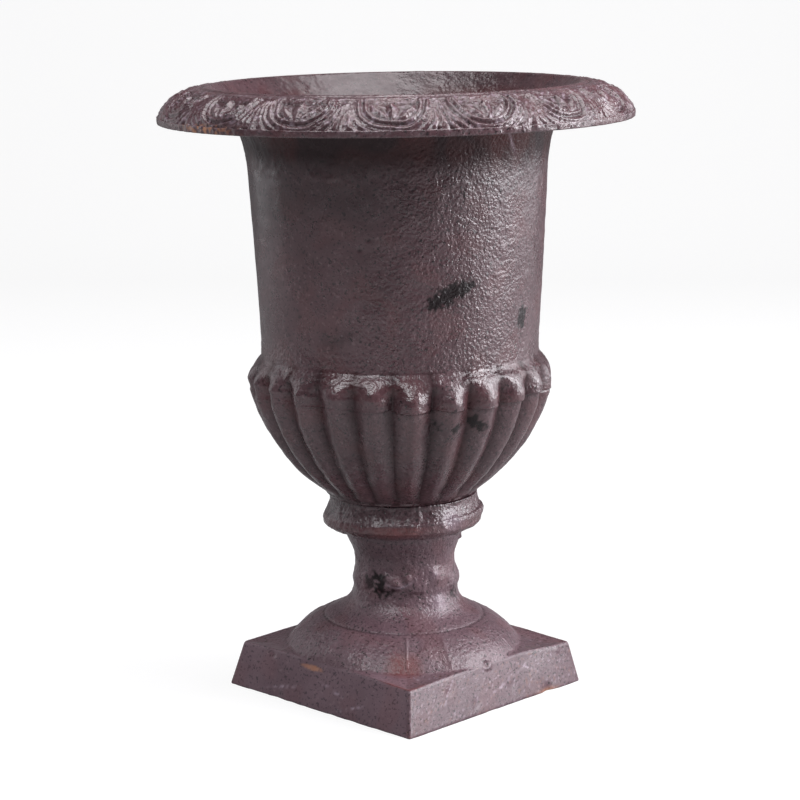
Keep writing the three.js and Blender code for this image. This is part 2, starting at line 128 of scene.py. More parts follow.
def curve(*points, samples=80):
    """Points along a straight line or a Bezier curve."""
    t = np.linspace(0, 1, samples)[:, None]
    level = [np.broadcast_to(np.array(p, float), (samples, 2)) for p in points]
    while len(level) > 1:
        level = [(1 - t) * a + t * b for a, b in zip(level, level[1:])]
    return level[0]


def through(points, samples=12):
    """A smooth line through all the points."""
    p = np.array(points, float)
    p = np.vstack([2 * p[0] - p[1], p, 2 * p[-1] - p[-2]])
    t = np.linspace(0, 1, samples, endpoint=False)[:, None]
    pieces = []
    for a, b, c, d in zip(p, p[1:], p[2:], p[3:]):
        pieces.append(0.5 * (2 * b + (c - a) * t + (2 * a - 5 * b + 4 * c - d) * t ** 2
                             + (3 * b - a - 3 * c + d) * t ** 3))
    return np.vstack(pieces + [p[-2:-1]])


def spaced(line, step):
    """The same line with its points about step apart."""
    gaps = np.hypot(*np.diff(line, axis=0).T)
    length = np.concatenate([[0], np.cumsum(gaps)])
    places = np.linspace(0, length[-1], max(int(round(length[-1] / step)), 1) + 1)
    return np.stack([np.interp(places, length, line[:, i]) for i in (0, 1)], axis=1)


def chain(step, *lines):
    """Lines joined end to end, with their corners kept."""
    spread = [spaced(line, step) for line in lines]
    return np.vstack([spread[0]] + [line[1:] for line in spread[1:]])


def normals_of(line):
    """The way out of the solid at each point of an outline that has the solid on its left."""
    along = np.gradient(line, axis=0)
    along /= np.hypot(*along.T)[:, None]
    return np.stack([along[:, 1], -along[:, 0]], axis=1)


class Shell:
    """A closed mesh put together from rings of points around an axis."""

    def __init__(self):
        self.points = []
        self.hollow_shades = []
        self.faces = []
        self.count = 0
        self.last = None

    # the second argument gives each point's painted shade, from 0 for none to 1 for full
    def add(self, points, hollow_and_shade=0.0):
        points = np.asarray(points, float).reshape(-1, 3)
        self.points.append(points)
        self.hollow_shades.append(np.broadcast_to(np.asarray(hollow_and_shade, float).reshape(-1), len(points)))
        self.count += len(points)
        return np.arange(self.count - len(points), self.count)

    def rows(self, grid, hollow_and_shade=0.0):
        """Adds rows of points and joins each row to the next. Gives back the first and last row."""
        index = self.add(grid, hollow_and_shade).reshape(grid.shape[:2])
        for a, b in zip(index, index[1:]):
            self.join(a, b)
        return index[0], index[-1]

    def follow(self, grid, hollow_and_shade=0.0):
        """Adds rows that go on from the last ring. Gives back their first one."""
        before = self.last
        start, self.last = self.rows(grid, hollow_and_shade)
        if before is not None:
            self.join(before, start)
        return start

    def join(self, a, b):
        """Faces between two rings with as many points, or with one twice as many as the other."""
        if len(a) < len(b):
            a, b = b, a
        if len(a) == len(b):
            self.faces += np.stack([a, np.roll(a, -1), np.roll(b, -1), b], axis=1).tolist()
            return
        even, odd = a[::2], a[1::2]
        after, low = np.roll(even, -1), np.roll(b, -1)
        self.faces += np.stack([even, odd, b], axis=1).tolist()
        self.faces += np.stack([odd, after, low], axis=1).tolist()
        self.faces += np.stack([odd, low, b], axis=1).tolist()

    def plate(self, outer, holes):
        """Fills a flat ring of points, leaving the holes open."""
        every = np.vstack(self.points)
        loops = [outer] + list(holes)
        index = np.concatenate(loops)
        flat = [Vector(p[:2]) for p in every[index]]
        edges = []
        start = 0
        for loop in loops:
            numbers = np.arange(start, start + len(loop))
            edges += list(zip(numbers.tolist(), np.roll(numbers, -1).tolist()))
            start += len(loop)
        _, _, triangles, _, _, _ = delaunay_2d_cdt(flat, edges, [], 0, 1e-6)
        rims = [every[hole][:, :2] for hole in holes]
        for triangle in triangles:
            middle = np.mean([flat[i] for i in triangle], axis=0)
            inside = any(np.hypot(*(middle - rim.mean(axis=0)))
                         < np.hypot(*(rim[0] - rim.mean(axis=0))) * 0.9 for rim in rims)
            if not inside:
                self.faces.append([int(index[i]) for i in triangle])


def put_in_scene(name, data):
    thing = bpy.data.objects.new(name, data)
    bpy.context.scene.collection.objects.link(thing)
    return thing


def make_piece(name, shell, material, place=None, marks=None, smooth_shading=True, body="root"):
    """Turns a shell into a piece. place moves its points in mm; marks gives its named shades."""
    points = np.vstack(shell.points)
    hollow_and_shade = np.concatenate(shell.hollow_shades)
    standing = points if place is None else place(points)
    mesh = bpy.data.meshes.new(name)
    mesh.from_pydata((standing * MM).tolist(), [], shell.faces)
    build = bmesh.new()
    build.from_mesh(mesh)
    bmesh.ops.recalc_face_normals(build, faces=build.faces)
    build.to_mesh(mesh)
    build.free()
    # the shell's painted shade goes in as an attribute of its own
    shades = {"hollow_and_shade": hollow_and_shade}
    if marks is not None:
        shades.update((key, np.clip(values, 0, 1)) for key, values in marks(points).items())
    for key, values in shades.items():
        layer = mesh.attributes.new(key, "FLOAT", "POINT")
        layer.data.foreach_set("value", np.asarray(values, np.float32))
    mesh.shade_smooth() if smooth_shading else mesh.shade_flat()
    piece = put_in_scene(name, mesh)
    mesh.materials.append(material)
    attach(piece, body)
    return piece


# ---- Materials ----

def linear(red, green, blue):
    """A screen colour, 0 to 255, as the shader's own values."""
    return (*((c / 255 / 12.92) if c <= 10 else ((c / 255 + 0.055) / 1.055) ** 2.4
              for c in (red, green, blue)), 1)


class Paint:
    """A material whose colour, shine and skin come from procedural nodes."""

    def __init__(self, name):
        self.material = bpy.data.materials.new(name)
        self.material.use_nodes = True
        self.nodes = self.material.node_tree.nodes
        self.link = self.material.node_tree.links.new
        self.shader = self.nodes["Principled BSDF"]

    def give(self, socket, value):
        """Sets a constant on a socket, or links a node's result to it."""
        if isinstance(value, bpy.types.NodeSocket):
            self.link(value, socket)
        else:
            socket.default_value = value

    def node(self, kind, **values):
        """A new node with these values in its sockets. An underscore stands for a space."""
        node = self.nodes.new("ShaderNode" + kind)
        for key, value in values.items():
            self.give(node.inputs[key.replace("_", " ")], value)
        return node

    def attribute(self, name):
        node = self.node("Attribute")
        node.attribute_name = name
        return node.outputs["Fac"]

    def texture(self, scale, detail=3.0, roughness=0.5):
        """Noise in the piece's own coordinates."""
        place = self.node("TexCoord").outputs["Object"]
        return self.node("TexNoise", Scale=scale, Detail=detail, Roughness=roughness,
                         Vector=place).outputs["Fac"]

    def reshaped(self, value, low, high, to_low, to_high):
        return self.node("MapRange", Value=value, From_Min=low, From_Max=high, To_Min=to_low,
                         To_Max=to_high).outputs["Result"]

    def arithmetic(self, kind, a, b):
        node = self.node("Math")
        node.operation = kind
        self.give(node.inputs[0], a)
        self.give(node.inputs[1], b)
        return node.outputs["Value"]

    def blended(self, factor, a, b):
        """Colour a where factor is 0 and b where it is 1."""
        node = self.node("Mix")
        node.data_type = "RGBA"
        self.give(node.inputs["Factor"], factor)
        self.give(node.inputs[6], a)
        self.give(node.inputs[7], b)
        return node.outputs[2]

    def relief(self, height, depth, strength):
        """Gives the shader a fine relief, with its depth in metres."""
        bumps = self.node("Bump", Distance=depth, Strength=strength, Height=height)
        self.link(bumps.outputs["Normal"], self.shader.inputs["Normal"])


def painted_iron(name, base=(87, 61, 66), gloss=0.28, mirror=1.0):
    """Purple-brown satin paint over sand-cast iron."""
    paint = Paint(name)
    darker, lighter = (linear(*[c + change for c in base]) for change in (-8, 8))
    cloud = paint.texture(28, detail=4, roughness=0.6)
    # pale flecks that stand for glints of light on the sand: painted highlights
    painted_glints = paint.texture(520, detail=2, roughness=0.6)
    pinholes = paint.texture(760, detail=1.5, roughness=0.5)
    hollow_and_shade = paint.attribute("hollow_and_shade")
    colour = paint.blended(paint.reshaped(cloud, 0.35, 0.65, 0, 1), darker, lighter)
    for where, shade in ((paint.reshaped(painted_glints, 0.58, 0.72, 0, 0.35), (150, 126, 130)),
                         (paint.reshaped(pinholes, 0.59, 0.66, 0, 0.85), (38, 27, 30)),
                         # painted shade in hollows, between the lobes and under the rim
                         (paint.reshaped(hollow_and_shade, 0.1, 1, 0, 0.85), (44, 29, 31)),
                         (paint.attribute("warm_tone_and_shade"), (118, 62, 60)),
                         (paint.attribute("pale_wear_and_highlight"), (196, 176, 190)),
                         (paint.attribute("dark_marks_and_shade"), (30, 20, 22)),
                         (paint.attribute("rust"), (205, 140, 96))):
        colour = paint.blended(where, colour, linear(*shade))
    paint.link(colour, paint.shader.inputs["Base Color"])
    shine = paint.reshaped(paint.texture(90), 0.3, 0.7, gloss - 0.06, gloss + 0.08)
    dull_rust = paint.arithmetic("MULTIPLY", paint.attribute("rust"), 0.3)
    paint.link(paint.arithmetic("ADD", shine, dull_rust), paint.shader.inputs["Roughness"])
    # painted shade on the reflections: little of the room shows in hollows and where dark marks and painted
    # shade lie
    open_part = paint.reshaped(hollow_and_shade, 0, 1, mirror, 0.25 * mirror)
    clean_part = paint.reshaped(paint.attribute("dark_marks_and_shade"), 0, 1, 1, 0.5)
    paint.link(paint.arithmetic("MULTIPLY", open_part, clean_part), paint.shader.inputs["Specular IOR Level"])
    sand = paint.texture(660, detail=2)
    lumps = paint.arithmetic("MULTIPLY", paint.texture(300, detail=1), 0.4)
    paint.relief(paint.arithmetic("ADD", lumps, sand), 0.0007, paint.attribute("grain"))
    return paint.material


def plated_steel(name, base, gloss):
    """Dulled zinc plating with a few rust spots."""
    paint = Paint(name)
    cloud = paint.texture(160, detail=4)
    spots = paint.texture(340)
    colour = paint.blended(cloud, linear(*[c * 0.82 for c in base]), linear(*base))
    colour = paint.blended(paint.reshaped(spots, 0.6, 0.72, 0, 0.8), colour, linear(122, 74, 46))
    paint.link(colour, paint.shader.inputs["Base Color"])
    paint.shader.inputs["Metallic"].default_value = 0.85
    paint.link(paint.reshaped(cloud, 0.3, 0.7, gloss - 0.08, gloss + 0.12), paint.shader.inputs["Roughness"])
    paint.relief(spots, 0.0001, 0.5)
    return paint.material


# ---- Columns around the urn ----

LOBES = 24
LOBE_START = math.radians(-4.15)


def columns(per_lobe):
    """Angles around the bowl, closer together at the valleys between the lobes."""
    t = np.arange(per_lobe) / (per_lobe / 2) - 1
    across = t + 0.4 * np.sin(math.pi * t) / math.pi
    lobe = np.arange(LOBES)[:, None]
    return LOBE_START + (lobe + (across + 1) / 2).ravel() * (2 * math.pi / LOBES)


def lobe_of(angle):
    """Each angle's lobe number, and its place across the lobe from -1 to 1."""
    turns = (np.asarray(angle) - LOBE_START) / (2 * math.pi) * LOBES
    number = np.floor(turns).astype(int) % LOBES
    return number, 2 * (turns - np.floor(turns)) - 1


def camera_angle(angle):
    """Degrees from the side that faces the photograph, right of it positive."""
    degrees = np.degrees(np.asarray(angle) - VIEW)
    return (degrees + 180) % 360 - 180


# ---- Bowl ----

random = np.random.default_rng(7)
HEAD_LIFT = random.normal(0, 0.9, LOBES)  # how far each head's lower edge lies off
HEAD_PROUD = random.uniform(0.2, 1.7, LOBES)
HEAD_SKEW = random.normal(0, 0.5, LOBES)
LOBE_SIZE = random.normal(0, 0.25, LOBES)

MOTIFS = 16
MOTIF_WIDTH = 40.4  # along the rim, from the middle of one fan to the next
HALF_MOTIF = MOTIF_WIDTH / 2
EGG_TURN = math.radians(-1.95)
RELIEF = 2.1


def ornament(angle, down, points):
    """Height of the rim's egg-and-leaf ornament, 0 at the ground and about 1 at the highest parts.

    down is the distance from the crest in mm. x runs across one repeat, with an egg at 0 and a fan
    of leaves at each end.
    """
    turns = (angle - EGG_TURN) / (2 * math.pi) * MOTIFS
    number = np.round(turns)
    x = (turns - number) * MOTIF_WIDTH
    x = x + 0.7 * noise(points, 9, 3)
    y = down + 0.6 * noise(points, 8, 5)
    side = np.abs(x)

    # the band that follows the mouth
    height = 0.62 + 0.22 * bump(y - 0.3, 1.0) - 0.62 * bump(y - 2.1, 0.55)
    scroll = np.abs(np.hypot(side - 9, y - 9.3) - 3.4)
    height = height + 0.25 * bump(scroll, 0.6) * smooth(y, 4, 5) * (y < 9.3)
    scroll = np.abs(np.hypot(side - 2.5, y - 9.3) - 2.6)
    height = height + 0.18 * bump(scroll, 0.5) * smooth(y, 4, 5) * (y < 9.3)
    under_band = smooth(y, 8.2, 9.0)

    # the egg
    reach = np.maximum(y - 11, 0) / 17.5
    egg = (np.power(side / 15.2, 2.2) + np.power(reach, 2.2)) ** (1 / 2.2)
    bands = np.maximum(1.0 * bump(egg - 1.0, 0.060), 0.82 * bump(egg - 0.80, 0.055))
    ground = 0.08 + 0.10 * noise(points, 2.6, 11)
    leaf_width = 2.9 * np.power(np.clip(np.sin(math.pi * np.clip((y - 11.5) / 13.5, 0, 1)), 0, 1), 0.8)
    middle_leaf = 0.95 * np.clip(1 - side / (leaf_width + 0.01), 0, 1) ** 0.7
    along = np.clip((24.5 - y) / 9.5, 0, 1)
    side_leaf = np.abs(side - (0.8 + 8.2 * along ** 0.8)) / (0.4 + 2.6 * np.sin(math.pi * along) ** 0.8)
    side_leaf = 0.8 * np.clip(1 - side_leaf, 0, 1) ** 0.7 * (y > 14) * (y < 25)
    lower_leaf = np.abs(y - (20 + 0.42 * side)) / 1.3
    lower_leaf = 0.6 * np.clip(1 - lower_leaf, 0, 1) * smooth(side, 2, 4) * (side < 9)
    field = ground + np.maximum(np.maximum(middle_leaf, side_leaf), lower_leaf)
    inner = np.where(egg < 0.74, field, 0.12 + 0 * field)
    eggs = np.maximum(inner * smooth(0.76 - egg, 0, 0.05), bands)
    lines = np.maximum(0.8 * bump(y - 9.7, 0.45), 0.75 * bump(y - 11.3, 0.45)) * smooth(14.6 - side, 0, 1.5)
    eggs = np.maximum(eggs, lines)

    # the fan of five leaves
    from_fan = HALF_MOTIF - side
    egg_side = 16.7 * np.power(np.clip(1 - np.power(np.clip((y - 11) / 19.6, 0, 1), 2.2), 0, 1), 1 / 2.2)
    width = np.maximum(HALF_MOTIF - egg_side, 2.6)
    q = from_fan / width + 0.05 * noise(points, 5, 8)
    part = np.abs((q + 0.2) % 0.4 - 0.2) / 0.2
    flute = np.sqrt(np.clip(1 - 0.97 * part ** 2, 0, 1))
    swell = 0.62 + 0.38 * smooth(y, 12, 26)
    fan = swell * flute * (0.85 + 0.15 * noise(points, 4, 9))
    knot = 0.75 * bump(from_fan, 2.6) * bump(y - 9.2, 2.2)
    fan = np.maximum(fan, knot)
    in_fan = smooth(egg, 1.03, 1.10) * smooth(y, 8.5, 10)
    pattern = eggs * (1 - in_fan) + fan * in_fan
    height = height * (1 - under_band) + pattern * under_band

    # worn and poorly cast places
    soft = 0.5 + 0.5 * noise(points, 24, 21)
    soft = np.clip(0.10 + 0.35 * soft + 0.25 * smooth(-camera_angle(angle), 35, 80), 0, 0.75)
    height = height * (1 - 0.45 * soft) + 0.5 * 0.45 * soft
    sand = 0.07 * noise(points, 1.5, 31) + 0.05 * noise(points, 2.8, 33)
    return np.clip(height + sand, -0.15, 1.1)


def rim_grid(line, angle):
    """The turned-over rim, with its ornament cut into the outline."""
    length = np.concatenate([[0], np.cumsum(np.hypot(*np.diff(line, axis=0).T))])
    down = (length[-1] - length)[:, None]  # the line runs from the edge up to the crest
    out = normals_of(line)
    flat = spun(line, angle)
    height = ornament(angle[None, :], down, flat)
    fade = smooth(down, 0.0, 0.8)
    sunk = RELIEF * (1 - height) * fade * (0.75 + 0.25 * smooth(down, 2, 9))
    radius = line[:, :1] - sunk * out[:, :1]
    z = line[:, 1:] - sunk * out[:, 1:]
    # the second result is painted shade where the ornament lies low
    return around(angle[None, :], radius, z), np.clip((0.55 - height) * 1.3, 0, 1) * fade


def edge_inset(angle, points):
    """How far the rim's edge band lies in between the tips of the leaves."""
    turns = (angle - EGG_TURN) / (2 * math.pi) * MOTIFS
    side = np.abs(turns - np.round(turns)) * MOTIF_WIDTH
    tips = np.abs(((HALF_MOTIF - side) / 15.8 + 0.2) % 0.4 - 0.2) / 0.2
    scallop = 0.4 * tips ** 2 * smooth(side, 4, 7)
    return np.maximum(0.2 + scallop + 0.2 * noise(points, 2.2, 41) + 0.2 * noise(points, 6, 42), 0)


def head_radius(z):
    """Radius of the gadroons' heads."""
    return np.interp(z, HEAD_LINE[:, 1], HEAD_LINE[:, 0])


HEAD_TOP = 170.4  # where the heads run into the wall
HEAD_LINE = curve((74.9, 153.6), (75.5, 161.2), (71.8, 165.8), (66.4, 169.8))
WALL_FOOT = (67.9, 176.5)
WALL_TOP = (72.5, 259)
WALL_LINE = np.vstack([curve((67.9, 150), WALL_FOOT), curve(WALL_FOOT, WALL_TOP)])


def wall_radius(z):
    return np.interp(z, WALL_LINE[:, 1], WALL_LINE[:, 0])


def lobe_hollow(across):
    """0 on a lobe's crest and 1 in the valley beside it."""
    return 0.45 * across ** 2 + 0.275 * (1 - np.cos(math.pi * across))


def wall_grain(angle, z):
    """How sandy the wall is: smooth on the left, rough in the middle and on the right."""
    side = camera_angle(angle)
    start = -26 + 16 * smooth(z, 190, 250)  # the smooth part reaches further round near the top
    patch = smooth(side, start, start + 26) * (1 - 0.55 * smooth(side, 44, 62))
    low = smooth(184 - z, 0, 10)
    return np.clip(0.08 + 0.92 * patch + 0.5 * low, 0, 1)


def wall_bumps(points, angle, z):
    """Uneven metal on the plain wall, in mm."""
    grain = wall_grain(angle, z)
    low_band = smooth(182 - z, 0, 12)
    waves = 0.12 * noise(points, 18, 51) + 0.20 * noise(points, 7, 52)
    sand = 0.06 * noise(points, 2.6, 53) + 0.10 * noise(points, 1.4, 54)
    return waves * (0.3 + 0.7 * grain) + sand * (grain + 0.6 * low_band)


def spot(points, angle, radius, z, size):
    """Strength of a mark around a place on the surface, with its size in mm."""
    middle = around(math.radians(angle), radius, z)
    return np.exp(-np.sum((points - middle) ** 2, axis=-1) / size ** 2)


# Marks seen in the photograph: degrees around the axis, radius, height and size in mm.
GADROON_PITS = [(54.4, 72.5, 146.6, 1.2), (64.4, 71.5, 142.3, 1.1), (74.2, 72.5, 147.2, 1.3),
                (31.6, 59.0, 117.9, 1.0), (45.8, 58.0, 117.1, 1.1), (63.8, 55.0, 114.2, 1.0)]
WALL_PITS = [(28.8, 70.5, 227.8, 0.9), (32.7, 70.8, 232.6, 0.8)]
DARK_PATCHES = [(56.5, 69.4, 202.6, 3.2), (61.7, 69.4, 205.7, 4.4), (67.5, 69.4, 208.6, 3.4),
                (72.0, 69.4, 209.8, 2.2), (99.7, 68.5, 189.5, 3.4), (101.5, 68.5, 193.5, 2.8),
                (57.0, 70.0, 144.6, 2.6), (65.0, 69.5, 143.6, 2.4), (73.0, 70.5, 146.0, 3.2),
                (77.0, 70.0, 143.0, 2.6)]
SMEARS = [(15.0, 68.3, 184.0, 4.0), (19.5, 68.3, 185.6, 4.5), (24.5, 68.3, 187.5, 3.5),
          (61.0, 69.4, 206.0, 7.0), (70.0, 69.4, 210.0, 6.0), (99.0, 68.5, 191.0, 6.0),
          (68.0, 71.0, 145.0, 8.0)]


def gadroon_grid(line, angle, is_head):
    """The lobed lower part of the bowl, or the lobes' heads."""
    number, across = lobe_of(angle)
    across = across[None, :] + 0 * line[:, :1]
    base, z = line[:, :1] + 0 * across, line[:, 1:] + 0 * across
    keep = 1 - across ** 4  # the lobes' own differences end in the valleys
    flat = around(angle[None, :], base, z)
    side = camera_angle(angle)[None, :] + 0 * z
    wobble = 0.5 * noise(flat, 16, 61)
    lift = (HEAD_LIFT[number] + HEAD_SKEW[number] * across) * keep
    # the same measure sets the valleys' depth and their painted shade
    hollow_and_shade = lobe_hollow(np.clip(across + 0.04 * noise(flat, 9, 62), -1, 1))
    depth = 4.8 * (base / 74.2) ** 1.2 + 0.3 * wobble
    if is_head:
        # the heads stand apart only low down; above they run together in one sandy roll
        lower = smooth(163 - z, 0, 7)
        z = z + lift * smooth(STEP_HEIGHT + 7 - z, 0, 6)
        sunk = 1.3 * smooth(-side, 20, 70) * smooth(z, 154, 162)  # lower on the photograph's left
        radius = head_radius(z + sunk) + (base - head_radius(line[:, 1:])) * lower
        stands_out = smooth(side, -25, 12)  # the step under the heads dies out on the left
        plain = 73.7 + 1.7 * smooth(z, STEP_HEIGHT, 161)
        radius = radius * stands_out + np.minimum(radius, plain) * (1 - stands_out)
        radius = radius + (HEAD_PROUD[number] - 0.4) * stands_out * keep * lower
        radius = radius - stands_out * hollow_and_shade ** 2 * smooth(161 - z, 0, 7)
        radius = radius - depth * hollow_and_shade * smooth(166.5 - z, 0, 8.5)
        radius = radius + 0.30 * noise(flat, 6, 63) + 0.12 * noise(flat, 2.6, 64)
        radius = radius + 0.10 * noise(flat, 1.5, 68)
        wall = wall_radius(z) + wall_bumps(flat, angle[None, :], z)
        gap = radius - wall
        radius = wall + np.maximum(gap, 0) + 0.8 * np.log1p(np.exp(-np.abs(gap) / 0.8))
        radius = wall + (radius - wall) * smooth(HEAD_TOP - line[:, 1:], 0, 2.0)
    else:
        near_seat = smooth(z, BOWL_FOOT + 1.2, BOWL_FOOT + 8)
        near_head = smooth(z, STEP_HEIGHT - 4, STEP_HEIGHT)
        z = z + lift * near_head
        radius = base - depth * hollow_and_shade * near_seat + LOBE_SIZE[number] * keep * near_seat
        radius = radius - 1.4 * bump(side + 95, 40) * bump(z - 103, 6)
        radius = radius + (0.22 * noise(flat, 7, 65) + 0.12 * noise(flat, 2.0, 66)) * near_seat
    surface = around(angle[None, :], radius, z)
    for place in GADROON_PITS:
        radius = radius - 0.9 * spot(surface, *place)
    # the second result is painted shade, darkest in the valleys between the lobes
    return around(angle[None, :], radius, z), 0.85 * hollow_and_shade ** 2


def wall_grid(line, angle):
    base, z = line[:, :1], line[:, 1:] + 0 * angle[None, :]
    flat = around(angle[None, :], base, z)
    radius = base + wall_bumps(flat, angle[None, :], z)
    surface = around(angle[None, :], radius, z)
    for place in WALL_PITS:
        radius = radius - 0.4 * spot(surface, *place)
    return around(angle[None, :], radius, z)


def turned_grid(line, angle, seed, coarse=0.12, fine=0.08):
    """An outline turned about the axis, with an uneven skin."""
    out = normals_of(line)
    flat = spun(line, angle)
    push = coarse * noise(flat, 8, seed) + fine * noise(flat, 2.2, seed + 1)
    return around(angle[None, :], line[:, :1] + push * out[:, :1], line[:, 1:] + push * out[:, 1:])


def bowl_travel(z):
    """How far the bowl's middle lies off the plinth's at a height, the way the urn leans."""
    return 1.3 + 0.65 * smooth(z, BOWL_FOOT, 112) + 2.5 * (np.clip(z - 170, 0, None) / 130) ** 2


def bowl_stands(points):
    """Puts the bowl, drawn upright around its own axis, where it leans over the pedestal."""
    z = points[:, 2]
    tilt = np.radians(0.35 + 0.65 * smooth(z, 130, 290) + 0.65 * smooth(118 - z, 0, 18))
    along = points[:, :2] @ LEAN_WAY
    moved = points.copy()
    moved[:, :2] += FOOT + bowl_travel(z)[:, None] * LEAN_WAY
    moved[:, 2] -= np.sin(tilt) * along
    return moved


def bowl_marks(points):
    angle = np.arctan2(points[:, 0], -points[:, 1])
    radius = np.hypot(points[:, 0], points[:, 1])
    z = points[:, 2]
    side = camera_angle(angle)
    dark_marks_and_shade = np.zeros(len(points))
    for place in DARK_PATCHES:
        dark_marks_and_shade += spot(points, *place)
    dark_marks_and_shade = 0.95 * smooth(dark_marks_and_shade + 0.6 * noise(points, 2.0, 71) * smooth(dark_marks_and_shade, 0.05, 0.3), 0.2, 0.55)
    for place in SMEARS:
        dark_marks_and_shade += 0.42 * spot(points, *place) * (0.7 + 0.5 * noise(points, 3.0, 76))
    for place in GADROON_PITS + WALL_PITS:
        dark_marks_and_shade += 0.9 * spot(points, *place)
    on_wall = smooth(z, 168, 173) * smooth(100 - radius, 0, 5)
    grain = np.where(on_wall > 0.5, wall_grain(angle, z), 0.55)
    rust = np.zeros(len(points))
    edge = smooth(radius, 112.5, 114.2) * smooth(288 - z, 0, 2)
    rust += 0.7 * edge * smooth(noise(points, 2.2, 72), 0.1, 0.4) * bump(side + 49, 8)
    # paler patches on the ornamented rim: partly worn paint, partly painted highlight
    pale_wear_and_highlight = 0.30 * smooth(noise(points, 2.0, 73), 0.35, 0.7) * smooth(radius, 92, 96) * smooth(z, 284, 287)
    scratch = np.abs((side - 45.2) - 0.55 * (274.4 - z))
    pale_wear_and_highlight = pale_wear_and_highlight + 0.5 * bump(scratch, 0.5) * bump(z - 274.4, 5) * smooth(radius, 70, 73)
    inside = smooth(90.5 - radius, 0, 1) * smooth(z, 255, 300) * (radius < 90.2)
    warm_tone_and_shade = 0.12 * smooth(noise(points, 14, 74), 0.1, 0.5)
    # painted shade on the inside's far wall, seen through the mouth
    dark_marks_and_shade = dark_marks_and_shade + 0.55 * inside * smooth(np.abs(side), 100, 150)
    warm_tone_and_shade = warm_tone_and_shade + 0.4 * inside * smooth(noise(points, 22, 75), -0.3, 0.3) * smooth(296 - z, 0, 8)
    return {"dark_marks_and_shade": dark_marks_and_shade, "grain": grain, "rust": rust, "pale_wear_and_highlight": pale_wear_and_highlight, "warm_tone_and_shade": warm_tone_and_shade}


BOLT_HOLE = 6.9
DRAIN_RADIUS = 3.4
DRAIN_CIRCLE = 15.6
DRAIN_ANGLES = [math.radians(60 + 120 * i) for i in range(3)]


def circle(middle, radius, z, count):
    """A ring of points about an upright axis anywhere in plan."""
    turn = np.arange(count) / count * 2 * math.pi
    return np.stack([middle[0] + radius * np.cos(turn), middle[1] + radius * np.sin(turn),
                     z + 0 * turn], axis=1)


def holed_floor(shell, upper, lower, top, bottom, middle):
    """Closes a floor between its upper and lower ring, with the bolt's hole and the drain holes."""
    holes = [(middle, BOLT_HOLE, 48)]
    for angle in DRAIN_ANGLES:
        place = middle + DRAIN_CIRCLE * np.array([math.cos(angle), math.sin(angle)])
        holes.append((place, DRAIN_RADIUS, 32))
    above, below = [], []
    for place, radius, count in holes:
        rings = [shell.add(circle(place, radius + 0.5, top, count)),
                 shell.add(circle(place, radius, top - 0.5, count)),
                 shell.add(circle(place, radius, bottom + 0.5, count)),
                 shell.add(circle(place, radius + 0.4, bottom, count))]
        for a, b in zip(rings, rings[1:]):
            shell.join(a, b)
        above.append(rings[0])
        below.append(rings[-1])
    shell.plate(upper, above)
    shell.plate(lower, below)


